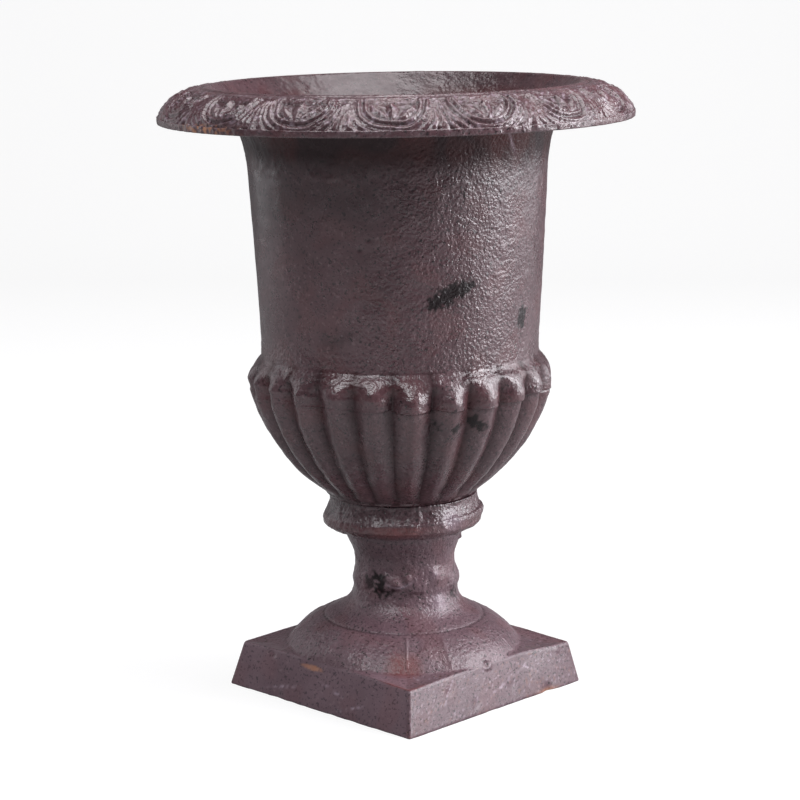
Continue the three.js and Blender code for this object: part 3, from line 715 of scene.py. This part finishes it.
def make_bowl(material):
    shell = Shell()
    fine, middling, plain = columns(48), columns(24), columns(12)

    seat = chain(1.0, curve((30, BOWL_FOOT), (36.3, BOWL_FOOT)),
                 curve((36.3, BOWL_FOOT), (36.8, BOWL_FOOT + 0.5), (37.6, BOWL_FOOT + 1.4)))
    belly = chain(1.0, curve((37.6, BOWL_FOOT + 1.4), (54.0, 111.8), (68.9, 131.2), (73.7, STEP_HEIGHT - 1)),
                  curve((73.7, STEP_HEIGHT - 1), (73.7, STEP_HEIGHT)))
    step = chain(0.4, curve((73.7, STEP_HEIGHT), (74.8, STEP_HEIGHT + 0.5)),
                 curve((74.8, STEP_HEIGHT + 0.5), (75.1, STEP_HEIGHT + 0.8), (74.9, 153.6)))
    heads = spaced(HEAD_LINE, 0.7)
    wall = chain(0.8, curve((67.9, HEAD_TOP), WALL_FOOT), curve(WALL_FOOT, WALL_TOP))
    flare = chain(1.2, curve(WALL_TOP, (73.3, 273), (77, 291.7), (95.5, 292.2)))
    under = chain(0.9, curve((95.5, 292.2), (105, 292.2), (112.6, 283.6)))
    edge = chain(0.45, curve((112.6, 283.6), (113.8, 282.4), (114.8, 282.9)),
                 curve((114.8, 282.9), (115.0, 284.4), (114.9, 286.0)))
    top = spaced(through([(114.9, 286.0), (112.9, 289.8), (110.2, 292.8), (107.5, 295.2), (104.2, 297.2),
                          (99.8, 299.0), (95.5, 299.8), (91.0, CREST)]), 0.55)
    mouth = chain(0.8, curve((91.0, CREST), (89.4, CREST), (88.3, 298.4)),
                  curve((88.3, 298.4), (80.0, 289.5), (67.1, 279), (67.1, 259)))
    inside = chain(2.5, curve((67.1, 259), (62.6, 171)),
                   curve((62.6, 171), (62.6, 158), (61.5, 136), (46.5, 112), (23.5, FLOOR_TOP)))

    lower = shell.follow(turned_grid(seat, middling, 81))
    shell.follow(*gadroon_grid(belly, middling, False))
    for line in (step, heads):
        shell.follow(*gadroon_grid(line[1:], middling, True))
    shell.follow(wall_grid(wall[1:], middling))
    # painted shade: darker up the flare towards the rim, and full painted shade on the rim's underside
    shade = smooth(flare[1:, 1], 257, 272)[:, None] + 0 * middling
    shell.follow(turned_grid(flare[1:], middling, 83, 0.15, 0.15), shade)
    shell.follow(turned_grid(under[1:], fine, 85, 0.2, 0.15), 1.0)
    inset = edge_inset(fine[None, :], spun(edge[1:], fine)) * smooth(edge[1:, 0], 112.6, 114.5)[:, None]
    shell.follow(around(fine[None, :], edge[1:, :1] - inset, edge[1:, 1:]))
    grid, hollow_and_shade = rim_grid(top, fine)
    blend = bump(np.arange(len(top)), 2.0)[:, None, None]
    drop = around(fine, 1, 0)[None] * inset[-1][None, :, None]
    shell.follow(grid - drop * blend, hollow_and_shade)
    shell.follow(turned_grid(mouth[1:], middling, 87, 0.2, 0.12))
    shell.follow(turned_grid(inside[1:], plain, 89, 0.3, 0.0))
    upper = shell.add(around(plain, 22.5, FLOOR_TOP))
    shell.join(shell.last, upper)
    bolt_off = -1.1 * LEAN_WAY
    holed_floor(shell, upper, lower, FLOOR_TOP, BOWL_FOOT, bolt_off)
    piece = make_piece("Bowl", shell, material, bowl_stands, bowl_marks)
    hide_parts("urn_bowl")
    return piece


# ---- Collar ----

def make_collar(material):
    shell = Shell()
    angle = np.arange(384) / 384 * 2 * math.pi
    low, high = SEAT + 0.3, SEAT + 16.72
    outer = chain(0.5, curve((22.0, low), (36.5, low)),
                  curve((36.5, low), (39.3, low), (39.7, 84.6)),
                  curve((39.7, 84.6), (40.1, 86.5), (39.7, 89.0)),
                  curve((39.7, 89.0), (39.4, 90.4), (38.7, 90.9)),
                  curve((38.7, 90.9), (37.6, 92.2), (36.7, 95.4)),
                  curve((36.7, 95.4), (36.5, 96.2), (36.5, high)),
                  curve((36.5, high), (22.0, high)))
    inner = spaced(curve((22.0, high), (22.0, low)), 2.0)[1:-1]
    out = normals_of(outer)
    flat = spun(outer, angle)
    shows = smooth(outer[:, 0], 33, 36)[:, None]
    push = 0.32 * noise(flat, 9, 101) + 0.22 * noise(flat, 3.4, 102) + 0.12 * noise(flat, 1.6, 103)
    for place, height in (((20.5, 39.8, 88.5, 4.0), 0.9), ((84.6, 38.6, 90.9, 3.2), 0.7),
                          ((12.9, 39.8, 86.8, 2.4), 0.6)):
        push = push + height * spot(flat, *place)
    turn = np.degrees(angle)[None, :]
    push = push + 0.5 * bump(turn - 55.0, 0.7) * smooth(outer[:, 1], 88, 96)[:, None]
    side = camera_angle(angle)[None, :]
    push = push - 1.3 * bump(side - 90, 35) * smooth(89.0 - outer[:, 1], 0, 3)[:, None]
    push = push * shows
    radius = outer[:, :1] + push * out[:, :1]
    z = outer[:, 1:] + push * out[:, 1:]
    # the band's upper lip lies lower at the photograph's left, and its lower edge higher in front
    band = smooth(radius, 37.5, 39) * smooth(94 - z, 0, 4)
    z = z + band * (1.0 * np.sin(np.radians(side))) * smooth(z, 83, 88)
    z = z + 2.2 * bump(side, 60) * smooth(86 - z, 0, 3) * smooth(radius, 36, 39)
    first = shell.follow(around(angle[None, :], radius, z))
    shell.follow(spun(inner, angle))
    shell.join(shell.last, first)

    def stands(points):
        moved = points.copy()
        above = (points[:, 2] - SEAT) * math.sin(LEAN)
        moved[:, :2] += FOOT + above[:, None] * LEAN_WAY
        moved[:, 2] -= math.sin(LEAN) * (points[:, :2] @ LEAN_WAY)
        return moved

    def marks(points):
        z = points[:, 2]
        radius = np.hypot(points[:, 0], points[:, 1])
        side = camera_angle(np.arctan2(points[:, 0], -points[:, 1]))
        # painted shade: redder under the band, most in front
        front = smooth(side, -28, -16) * smooth(16 - side, 0, 10)
        warm_tone_and_shade = (0.15 + 0.4 * front) * smooth(89.8 - z, 0, 1.2) * smooth(radius, 37, 39)
        # painted shade in the cove under the bowl and along the collar's top, where the bowl sits
        cove_shade = smooth(97.5 - z, 0, 3) * smooth(z, 90.5, 92) * 0.35
        joint_shade = smooth(z, 97.2, 98.2) * smooth(radius, 35, 36.5)
        # the pale spot on the band's upper edge at the right is a painted highlight
        return {"dark_marks_and_shade": 0.25 * joint_shade + 0.2 * cove_shade, "grain": 0.8 + 0 * z, "rust": 0 * z, "warm_tone_and_shade": warm_tone_and_shade,
                "pale_wear_and_highlight": 0.35 * spot(points, 80, 38.9, 90.4, 5.0)}

    piece = make_piece("Collar", shell, material, stands, marks)
    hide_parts("collar")
    return piece


# ---- Pedestal ----

PLINTH_TOP = 21.8
PLINTH = {"x": (63.0, 57.3), "y": (60.25, 56.5)}  # half its width on the ground and at its top
CORNER_POWER = 110  # a higher one makes the plinth's upright corners sharper


def plinth_angles(count):
    """Angles around the plinth, closer together at its corners."""
    t = np.arange(count) / count * 2 * math.pi
    return t + 0.235 * np.sin(4 * t)


def plinth_half(side, z):
    """Half the plinth's width at a height."""
    ground, top = PLINTH[side]
    return ground + (top - ground) * (z / PLINTH_TOP)


def plinth_reach(angle, z):
    """Distance from the axis to the plinth's side, whose slope runs on above its top."""
    sides = (np.abs(np.sin(angle)) / plinth_half("x", z)) ** CORNER_POWER
    sides = sides + (np.abs(np.cos(angle)) / plinth_half("y", z)) ** CORNER_POWER
    return sides ** (-1 / CORNER_POWER)


MOULDING = spaced(through([(58.2, PLINTH_TOP), (55.9, 24.8), (52.9, 28.1), (48.8, 31.4), (44.2, 34.3),
                           (40.6, 35.8)]), 0.45)


def rib_wave(angle, z):
    """The moulding's worn leaves: 16 shallow hollows with thin ridges between them, in mm."""
    turns = angle / (2 * math.pi) * 16
    across = 2 * np.abs(turns - np.round(turns))
    upper = smooth(z, PLINTH_TOP, PLINTH_TOP + 3)
    ridge = 0.32 * bump(across, 0.07) * (1 + 0.6 * noise(around(angle, 50, z), 30, 135))
    return (ridge - 0.12 * np.sin(math.pi * across) ** 2) * upper


def plinth_columns(angle, count):
    """For each angle, the line from low on the plinth's side over its top and up the moulding."""
    grid = np.zeros((count, len(angle), 3))
    start = 14.0
    for i, phi in enumerate(angle):
        cut = plinth_reach(phi, MOULDING[:, 1])
        apart = MOULDING[:, 0] - cut + 0.05
        kept = MOULDING[:, 0] - 0.9 * np.log1p(np.exp(np.clip(apart / 0.9, -30, 30)))
        side_z = np.linspace(start, PLINTH_TOP - 1.0, 16)
        side = np.stack([plinth_reach(phi, side_z), side_z], axis=1)
        foot = np.array([kept[0], PLINTH_TOP])
        over = float(plinth_reach(phi, PLINTH_TOP)) - foot[0]
        corner = []
        if over > 1.2:
            reach = float(plinth_reach(phi, PLINTH_TOP))
            turn = np.linspace(0, math.pi / 2, 7)[1:]
            corner = np.stack([reach - 0.9 + 0.9 * np.cos(turn),
                               PLINTH_TOP - 0.9 + 0.9 * np.sin(turn)], axis=1)
            inward = np.linspace(reach - 0.9, foot[0] + 0.6, 12)[1:]
            dish = -0.9 * np.sin(math.pi * (inward - foot[0]) / (reach - foot[0])) * smooth(over, 3, 14)
            corner = np.vstack([corner, np.stack([inward, PLINTH_TOP + dish], axis=1)])
        curve_up = np.stack([kept, MOULDING[:, 1]], axis=1)[2:]
        line = np.vstack([side, corner, curve_up]) if len(corner) else np.vstack([side, curve_up])
        length = np.concatenate([[0], np.cumsum(np.hypot(*np.diff(line, axis=0).T))])
        places = np.linspace(0, length[-1], count)
        r = np.interp(places, length, line[:, 0])
        z = np.interp(places, length, line[:, 1])
        grid[:, i] = around(phi, r, z)
    return grid


def pushed_out(grid, push):
    """Moves each point of a grid along the surface's own normal."""
    along = np.gradient(grid, axis=0)
    across = np.roll(grid, -1, axis=1) - np.roll(grid, 1, axis=1)
    out = np.cross(across, along)
    size = np.linalg.norm(out, axis=-1, keepdims=True)
    out = out / np.maximum(size, 1e-9)
    return grid + out * push[..., None]


STEM_LINE = [(25.9, 49.2), (25.8, 51), (26.4, 53.6), (26.1, 56.5), (25.4, 59.5), (25.0, 61.2), (24.8, 63.5),
             (24.85, 66), (25.3, 69), (26.4, 72), (27.2, 73.8), (28.3, 76.4), (29.1, 78.4)]


def stem_push(points, angle, z):
    """Lumps and sand on the bell and stem, in mm."""
    side = camera_angle(angle)
    sand = (0.10 * noise(points, 2.3, 121) + 0.06 * noise(points, 1.3, 122)) * smooth(z, 40, 46)
    lumpy = 0.45 * noise(points, 7, 123) * bump(z - 57, 12)
    push = sand + lumpy + 0.4 * smooth(side, 20, 80) * (side < 160) * bump(z - 53, 8)
    ring = smooth(75 - np.abs(side), 0, 30) * bump(z - 53.8, 3.2)
    push = push - ring * (0.55 + 0.6 * noise(points, 6, 124))
    for place, height in (((33.1, 26.0, 57.6, 2.7), 2.2), ((77.5, 25.5, 61.0, 3.0), 2.1),
                          ((30.0, 26.0, 53.0, 2.4), -0.7), ((82.0, 27.2, 47.2, 3.4), 1.2),
                          ((119.9, 28.5, 76.4, 1.2), 1.2),
                          ((45.0, 25.6, 60.4, 2.3), 1.6), ((21.0, 25.6, 60.4, 2.3), 1.5),
                          ((50.0, 26.6, 55.0, 3.0), 0.7), ((15.0, 26.6, 57.0, 2.5), 0.6)):
        push = push + height * spot(points, *place)
    return push


def make_pedestal(material):
    shell = Shell()
    angle = plinth_angles(640)
    side_z = np.concatenate([[0.0, 0.35, 0.9], np.linspace(1.8, 13.3, 12)])
    inset = np.array([0.4, 0.1, 0.0] + [0.0] * 12)
    reach = plinth_reach(angle[None, :], side_z[:, None]) - inset[:, None]
    side = around(angle[None, :], reach, side_z[:, None])
    upper = plinth_columns(angle, 84)
    skin = np.concatenate([side, upper])
    z = skin[..., 2]
    radius = np.hypot(skin[..., 0], skin[..., 1])
    wide = angle[None, :] + 0 * z
    push = 0.10 * noise(skin, 14, 131) + 0.07 * noise(skin, 4, 132) + 0.05 * noise(skin, 1.7, 133)
    flush = smooth(plinth_reach(wide, z) - radius, 0.2, 1.5)
    push = push * (0.3 + 0.7 * flush) + 0.09 * noise(skin, 2.3, 136) * flush
    push = push + rib_wave(wide, z) * flush * smooth(radius, 42, 45)
    push = push * smooth(z, 0.0, 1.0)
    push = push + plinth_dents(skin)
    skin = pushed_out(skin, push)
    low_edge = 0.2 * smooth(noise(skin, 9, 134), 0.0, 0.6) * (z < 0.5)
    skin[..., 2] = np.maximum(skin[..., 2] + low_edge, 0.0)
    first = shell.follow(skin)

    # these points began as a fit to the photograph's silhouette and were moved by up to 1 mm since
    bell = chain(0.5, curve((40.4, 35.8), (40.2, 35.5), (39.8, 35.9)),
                 through([(39.8, 35.9), (39.0, 36.7), (36.8, 38.0), (33.9, 39.4), (31.3, 41.1), (29.0, 43.2),
                          (27.5, 45.0), (26.5, 47.0), (25.9, 49.2)]))
    stem = chain(0.55, through(STEM_LINE), curve((29.1, 78.4), (29.2, 81.0)),
                 curve((29.2, 81.0), (29.1, 81.7), (28.4, WEB_TOP)))
    line = np.vstack([bell, stem[1:]])
    flat = spun(line, angle)
    out = normals_of(line)
    z = line[:, 1:] + 0 * angle[None, :]
    push = stem_push(flat, angle[None, :], z) * smooth(z, 36.2, 39.5) * smooth(81 - z, 0, 2)
    grid = around(angle[None, :], line[:, :1] + push * out[:, :1], z + push * out[:, 1:])
    shell.follow(grid)

    few = plinth_angles(320)
    ledge = shell.add(around(few, 27.0, WEB_TOP))
    shell.join(shell.last, ledge)

    pocket_floor = PLINTH_TOP - 7
    inside = chain(3.0, curve((24.0, WEB_FOOT), (19.0, WEB_FOOT)), curve((19.0, WEB_FOOT), (19.0, 49.2)),
                   curve((19.0, 49.2), (19.0, 37.2), (31.9, 31.7)),
                   curve((31.9, 31.7), (38.9, 31.7), (51.0, 21.8), (51.0, pocket_floor + 0.3)))
    lower_web = shell.add(around(few, 19.8, WEB_FOOT))
    bore = np.vstack([[(19.5, 75.4)], inside[spaced_start(inside, 19.0) + 1:]])
    shell.last = lower_web
    shell.follow(spun(bore, few))
    rim = plinth_reach(few, pocket_floor) - 8.2
    shell.follow(around(few, np.maximum(rim, 51.2), pocket_floor)[None])
    for z_wall in (pocket_floor - 1.0, 10.0, 6.0, 2.0, 0.5, 0.0):
        reach = plinth_reach(few, z_wall) - 8.0 * corner_factor(few) - (0.5 if z_wall else 0.0)
        shell.follow(around(few, reach, z_wall)[None])
    shell.join(shell.last, first)
    holed_floor(shell, ledge, lower_web, WEB_TOP, WEB_FOOT, np.zeros(2))

    def stands(points):
        moved = points.copy()
        z = points[:, 2]
        low, up = np.clip(1 - z / PLINTH_TOP, 0, 1), np.clip(z / PLINTH_TOP, 0, 1)
        plinth = smooth(30 - z, 0, 8)
        moved[:, 1] -= 3.2 * low * np.clip(-points[:, 1] / 60, 0, 1)
        moved[:, 0] += 2.6 * low * np.clip(-points[:, 0] / 60, 0, 1) * np.clip(-points[:, 1] / 60, 0, 1)
        moved[:, 0] += 0.8 * low * np.clip(points[:, 0] / 60, 0, 1)
        right, toward = points[:, :2] @ RIGHT, -points[:, :2] @ AWAY
        at_right = smooth(right, 56, 80) * up * plinth
        moved[:, :2] += (1.2 * smooth(right, 56, 80) * plinth + 1.4 * at_right)[:, None] * RIGHT
        low_corners = 0.9 * smooth(toward, 56, 80) + 0.5 * smooth(-right, 56, 80)
        moved[:, 2] -= 1.6 * at_right + low_corners * up * plinth
        moved[:, :2] += 0.8 * (bump(z - 55, 13) * smooth(z, 36, 46))[:, None] * RIGHT
        moved[:, :2] += FOOT
        above = smooth(z, 68, 80)
        moved[:, 2] -= math.sin(LEAN) * (points[:, :2] @ LEAN_WAY) * above
        return moved

    piece = make_piece("Pedestal", shell, material, stands, pedestal_marks)
    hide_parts("pedestal")
    return piece


def spaced_start(line, radius):
    """Number of the first point of a line at this radius."""
    return int(np.argmin(np.abs(line[:, 0] - radius)))


def corner_factor(angle):
    """Makes a ring of even width wider along the plinth's diagonals."""
    return 1 / np.maximum(np.abs(np.sin(angle)), np.abs(np.cos(angle)))


PLINTH_MARKS = [  # side, along it, height, size, how far out
    ("y", -35, 19.2, 1.6, -0.7), ("y", -10, 18.8, 1.8, -0.5), ("y", -5, 18.6, 1.6, -0.5),
    ("x", -31, 14.7, 1.5, -0.3), ("x", 36, 0.3, 3.0, -0.9), ("y", -28, 0.4, 5.0, -0.4),
    ("x", 47, 19.3, 2.0, 0.3), ("y", -17, 21.5, 3.0, 0.4), ("x", 12, 8.0, 2.5, -0.25),
    ("y", 30, 12.0, 2.0, -0.25), ("x", -14, 5.5, 1.8, -0.25)]


def plinth_place(side, along, z):
    """A point on the plinth's -Y or +X side."""
    reach = plinth_half(side, z)
    return np.array([along, -reach, z] if side == "y" else [reach, along, z])


def plinth_dents(points):
    push = np.zeros(points.shape[:-1])
    for side, along, z, size, out in PLINTH_MARKS:
        away = np.sum((points - plinth_place(side, along, z)) ** 2, axis=-1)
        push += out * np.exp(-away / size ** 2)
    blowhole = np.linalg.norm(points - np.array([57.4, -2.0, 21.7]), axis=-1)
    push += 0.5 * bump(blowhole - 2.4, 0.8) - 0.9 * bump(blowhole, 1.3)
    return push


STEM_BLOTCHES = [(5.0, 26.5, 57.0, 6.0), (15.0, 26.5, 59.0, 3.8), (15.0, 26.5, 52.5, 4.5),
                 (27.0, 26.5, 52.3, 3.0), (109.0, 26.8, 50.0, 4.5)]


def pedestal_marks(points):
    angle = np.arctan2(points[:, 0], -points[:, 1])
    z = points[:, 2]
    side = camera_angle(angle)
    radius = np.hypot(points[:, 0], points[:, 1])
    chips = smooth(noise(points, 1.6, 141), 0.6, 0.8)
    on_x = smooth(points[:, 0] - np.abs(points[:, 1]), -2, 2) * smooth(22 - z, 0, 1)
    on_y = smooth(-points[:, 1] - np.abs(points[:, 0]), -2, 2) * smooth(22 - z, 0, 1)
    rust = 0.12 * chips * on_x
    gold = np.sum((points - plinth_place("y", -7, 18.4)) ** 2 / np.array([64, 9, 2.2]), axis=-1)
    rust = rust + 0.5 * smooth(np.exp(-gold) + 0.35 * noise(points, 1.5, 146) * np.exp(-gold), 0.25, 0.8)
    gold = np.sum((points - plinth_place("x", 36, 0.6)) ** 2 / np.array([9, 36, 1.5]), axis=-1)
    rust = rust + 0.5 * np.exp(-gold)
    scratches = np.zeros(len(points))
    for along, height, length, slope in ((-23, 6.2, 9, 0.2), (9, 11, 7, -0.22), (22, 5, 8, 0.35)):
        off = np.abs(z - height - slope * (points[:, 0] - along))
        scratches += bump(off, 0.5) * bump(points[:, 0] - along, length) * on_y
    for along, height, length, slope in ((-31, 14.7, 5, 1.2), (4, 9, 9, 0.3), (26, 14, 7, -0.5)):
        off = np.abs(z - height - slope * (points[:, 1] - along))
        scratches += bump(off, 0.45) * bump(points[:, 1] - along, length) * on_x
    pale_wear_and_highlight = 0.7 * scratches * smooth(noise(points, 2.0, 142), -0.3, 0.2)
    pale_wear_and_highlight = pale_wear_and_highlight + 0.35 * smooth(noise(points, 1.2, 143), 0.55, 0.8) * on_x
    warm_tone_and_shade = 0.15 * smooth(noise(points, 16, 144), 0.1, 0.5)
    # painted light: the plinth's -Y face a little paler
    pale_wear_and_highlight = pale_wear_and_highlight + 0.07 * on_y
    # painted highlights: a pale crescent on the lower lip of the stem's lump, and pale spots on a glossy
    # patch and a shiny lump
    lip = np.abs(z - 55.6 - 2.2 * ((side + 9) / 15) ** 2)
    pale_wear_and_highlight = pale_wear_and_highlight + 0.4 * bump(lip, 0.6) * bump(side + 9, 15) * smooth(radius, 24, 25)
    pale_wear_and_highlight = pale_wear_and_highlight + 0.3 * spot(points, 82, 27.6, 47.2, 4.5) + 0.25 * spot(points, 77.5, 25.5, 61.0, 2.6)
    # painted shade: redder on the plinth's top beside the front corner
    front_corner_shade = smooth(12 - np.abs(side), 0, 8)
    warm_tone_and_shade = warm_tone_and_shade + 0.7 * front_corner_shade * smooth(z, 21, 22) * smooth(32 - z, 0, 6)
    # painted shade in the crease between the bell and the moulding, deeper at the left, and a little over the
    # plinth's +X face
    crease_shade = bump(radius - 40.2, 0.7) * bump(z - 35.7, 0.8)
    dark_marks_and_shade = (0.3 + 0.3 * bump(side + 42, 30)) * crease_shade + 0.12 * on_x
    for place in STEM_BLOTCHES:
        dark_marks_and_shade += 0.8 * smooth(spot(points, *place) * (0.8 + 0.9 * noise(points, 2.2, 145)), 0.15, 0.7)
    grain = 0.7 - 0.55 * (on_x + on_y)
    return {"dark_marks_and_shade": dark_marks_and_shade, "grain": grain, "rust": rust, "pale_wear_and_highlight": pale_wear_and_highlight, "warm_tone_and_shade": warm_tone_and_shade}


# ---- Bolt, nut and washers ----

def hexagon_reach(angle, across_flats):
    """Distance from the axis to a hexagon's side."""
    turned = (angle + math.pi / 6) % (math.pi / 3) - math.pi / 6
    return across_flats / 2 / np.cos(turned)


def on_the_axis(points):
    """Puts what is drawn along the bolt's own axis, from the pedestal's seat up, in its place."""
    along = points[:, :2] @ LEAN_WAY
    moved = np.empty_like(points)
    moved[:, :2] = points[:, :2] + FOOT
    moved[:, :2] += (along * (math.cos(LEAN) - 1) + points[:, 2] * math.sin(LEAN))[:, None] * LEAN_WAY
    moved[:, 2] = SEAT + points[:, 2] * math.cos(LEAN) - along * math.sin(LEAN)
    return moved


NUT_FOOT = -19.3
NUT_TOP = -11.05
ACROSS_FLATS = 16.9
WASHER = (9.95, 5.55)  # outer and inner radius
LOCK_FOOT = -10.95


def make_bolt(material):
    shell = Shell()
    angle = np.arange(96) / 96 * 2 * math.pi
    rows = []
    for z in np.arange(-22.2, 4.0, 0.25):
        share = (z / 1.5 - angle / (2 * math.pi)) % 1
        thread = 4.95 - 0.85 * np.abs(2 * share - 1)
        rows.append(around(angle, np.minimum(thread, 4.2 + 0.9 * (z + 22.2)), z))
    for z, radius in ((4.2, 4.4), (4.8, 4.95), (25.0, 4.95), (26.6, 4.95), (26.9, 5.3)):
        rows.append(around(angle, radius, z))
    flats = hexagon_reach(angle, ACROSS_FLATS)
    for z, radius in ((26.9, 7.9), (26.95, 8.2)):
        rows.append(around(angle, radius, z))
    for z, limit in ((27.3, 9.0), (27.7, 9.7), (31.6, 9.7), (32.4, 9.0), (33.1, 8.2), (33.2, 7.8),
                     (33.2, 4.0), (33.15, 1.0)):
        rows.append(around(angle, np.minimum(flats, limit), z))
    first, last = shell.rows(np.array(rows))
    for ring, z in ((first, -22.25), (last, 33.15)):
        tip = shell.add([[0, 0, z]])[0]
        shell.faces += [[int(a), int(b), int(tip)] for a, b in zip(ring, np.roll(ring, -1))]
    piece = make_piece("Tie_bolt", shell, material, on_the_axis, smooth_shading=False)
    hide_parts("tie_bolt")


def make_ring(name, node, slot, material, outer, inner, foot, top, across_flats=0.0):
    """A flat washer, or a nut where a size across flats is given."""
    shell = Shell()
    angle = np.arange(96) / 96 * 2 * math.pi
    reach = hexagon_reach(angle, across_flats) if across_flats else outer + 0 * angle
    edge = 0.9 if across_flats else 0.25
    limit = across_flats / 2 * 1.02 if across_flats else outer - edge
    rows = [around(angle, inner + 0.3, foot), around(angle, np.minimum(reach, limit), foot),
            around(angle, reach, foot + edge * 0.6), around(angle, reach, top - edge * 0.6),
            around(angle, np.minimum(reach, limit), top), around(angle, inner + 0.3, top),
            around(angle, inner, top - 0.3), around(angle, inner, foot + 0.3)]
    first, last = shell.rows(np.array(rows))
    shell.join(last, first)
    piece = make_piece(name, shell, material, on_the_axis, smooth_shading=False)
    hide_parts(node)


def make_lock_washer(material):
    """A ring of square section, cut through at one place with its ends a little apart."""
    shell = Shell()
    turn = np.linspace(0.11, 2 * math.pi - 0.11, 90)
    section = [(5.7, 0.1), (5.9, 0.0), (8.7, 0.0), (8.9, 0.15), (8.9, 1.95), (8.7, 2.1), (5.9, 2.1),
               (5.7, 2.0)]
    grid = np.zeros((len(turn), len(section), 3))
    rise = 0.25 * turn / (2 * math.pi)
    for i, (radius, z) in enumerate(section):
        grid[:, i] = np.stack([radius * np.cos(turn), radius * np.sin(turn), LOCK_FOOT + z + rise], axis=1)
    first, last = shell.rows(grid)
    shell.faces += [first.tolist(), last.tolist()]
    piece = make_piece("Lock_washer", shell, material, on_the_axis, smooth_shading=False)
    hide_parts("lock_washer")


# ---- Table, light and camera ----

def make_stage():
    """A white table that runs up into a white wall."""
    mesh = bpy.data.meshes.new("Table")
    build = bmesh.new()
    profile = [(-1.3, 0.0)] + [(1.4 + 0.5 * math.sin(a), 0.5 - 0.5 * math.cos(a))
                               for a in np.linspace(0, math.pi / 2, 16)] + [(1.9, 2.6)]
    rows = []
    for y, z in profile:
        rows.append([build.verts.new((x * RIGHT[0] + y * AWAY[0], x * RIGHT[1] + y * AWAY[1], z))
                     for x in (-2.5, 2.5)])
    for a, b in zip(rows, rows[1:]):
        build.faces.new((a[0], a[1], b[1], b[0])).smooth = True
    build.to_mesh(mesh)
    build.free()
    table = put_in_scene("Table", mesh)
    paint = Paint("White_table")
    paint.nodes.remove(paint.shader)
    seen = paint.node("Emission", Color=(1, 1, 1, 1), Strength=0.84)
    paper = paint.node("BsdfDiffuse", Color=(0.22, 0.22, 0.22, 1))
    plain = paint.node("BsdfDiffuse", Color=(0.4, 0.4, 0.4, 1))
    both, choose = paint.node("AddShader"), paint.node("MixShader")
    surface = paint.nodes["Material Output"].inputs["Surface"]
    paint.link(paint.node("LightPath").outputs["Is Camera Ray"], choose.inputs["Fac"])
    for source, socket in ((seen, both.inputs[0]), (paper, both.inputs[1]), (plain, choose.inputs[1]),
                           (both, choose.inputs[2]), (choose, surface)):
        paint.link(source.outputs[0], socket)
    mesh.materials.append(paint.material)


def add_lamp(name, power, size, right, toward, up, colour, aim=0.2):
    """A soft lamp, placed right of the axis and towards the camera, and aimed at a height on the axis."""
    lamp = bpy.data.lights.new(name, "AREA")
    lamp.shape = "RECTANGLE"
    lamp.size, lamp.size_y = size
    lamp.energy = power
    lamp.color = colour
    thing = put_in_scene(name, lamp)
    place = Vector([*(right * RIGHT - toward * AWAY), up])
    thing.location = place
    thing.rotation_euler = (Vector((0, 0, aim)) - place).to_track_quat("-Z", "Y").to_euler()


def make_light():
    world = bpy.data.worlds.new("World")
    bpy.context.scene.world = world
    world.use_nodes = True
    sky = world.node_tree.nodes["Background"]
    sky.inputs["Color"].default_value = (0.9, 0.92, 1.0, 1)
    sky.inputs["Strength"].default_value = 0.07
    add_lamp("Key", 24, (0.6, 1.3), 1.2, 0.2, 0.74, colour=(0.97, 0.96, 1.0))
    add_lamp("Left", 2.6, (1.0, 1.0), -1.1, -0.6, 0.5, colour=(0.97, 0.97, 1.0))
    add_lamp("Right", 5, (0.6, 0.9), 1.1, -0.55, 0.5, colour=(0.96, 0.96, 1.0))
    add_lamp("Top", 9.5, (1.0, 0.8), 0.1, -0.1, 1.35, colour=(1.0, 0.98, 1.0))
    add_lamp("Front", 8.5, (0.9, 0.5), -0.45, 0.75, 1.2, colour=(0.97, 0.97, 1.0), aim=0.1)


PHOTO_WIDTH = 800  # px
FOCAL_LENGTH = 2348.28  # px, fitted to the photograph, as the camera's place is
CAMERA_PITCH = 11.195  # degrees down
CAMERA_DISTANCE = 1135.576  # mm in plan from the middle of the plinth
CAMERA_HEIGHT = 369.038
CAMERA_SHIFT = 1.933  # mm to the photograph's left


def make_camera():
    camera = bpy.data.cameras.new("Camera")
    camera.sensor_width = 36
    camera.sensor_fit = "HORIZONTAL"
    camera.lens = FOCAL_LENGTH / PHOTO_WIDTH * camera.sensor_width
    thing = put_in_scene("Camera", camera)
    plan = FOOT - CAMERA_SHIFT * RIGHT - CAMERA_DISTANCE * AWAY
    thing.location = (plan[0] * MM, plan[1] * MM, CAMERA_HEIGHT * MM)
    thing.rotation_euler = (math.radians(90 - CAMERA_PITCH), 0, VIEW)
    bpy.context.scene.camera = thing


# ---- The urn ----

make_bowl(painted_iron("Bowl_paint"))
make_collar(painted_iron("Collar_paint", base=(87, 62, 67), gloss=0.28, mirror=0.9))
make_pedestal(painted_iron("Pedestal_paint", base=(108, 84, 91), gloss=0.36, mirror=0.65))
make_bolt(plated_steel("Bolt_plating", (122, 118, 112), 0.42))
washer = plated_steel("Washer_plating", (128, 124, 118), 0.38)
make_ring("Floor_washer", "floor_washer", "washer_steel", washer, *WASHER, 24.65, 26.55)
make_ring("Nut_washer", "nut_washer", "washer_steel", washer, *WASHER, -8.25, -6.35)
make_lock_washer(plated_steel("Spring_steel", (92, 90, 88), 0.5))
make_ring("Hex_nut", "hex_nut", "nut_steel", plated_steel("Nut_plating", (122, 118, 112), 0.42), 9.7, 5.3,
          NUT_FOOT, NUT_TOP, across_flats=ACROSS_FLATS)

make_stage()
make_light()
make_camera()
bpy.context.scene.view_settings.view_transform = "Standard"
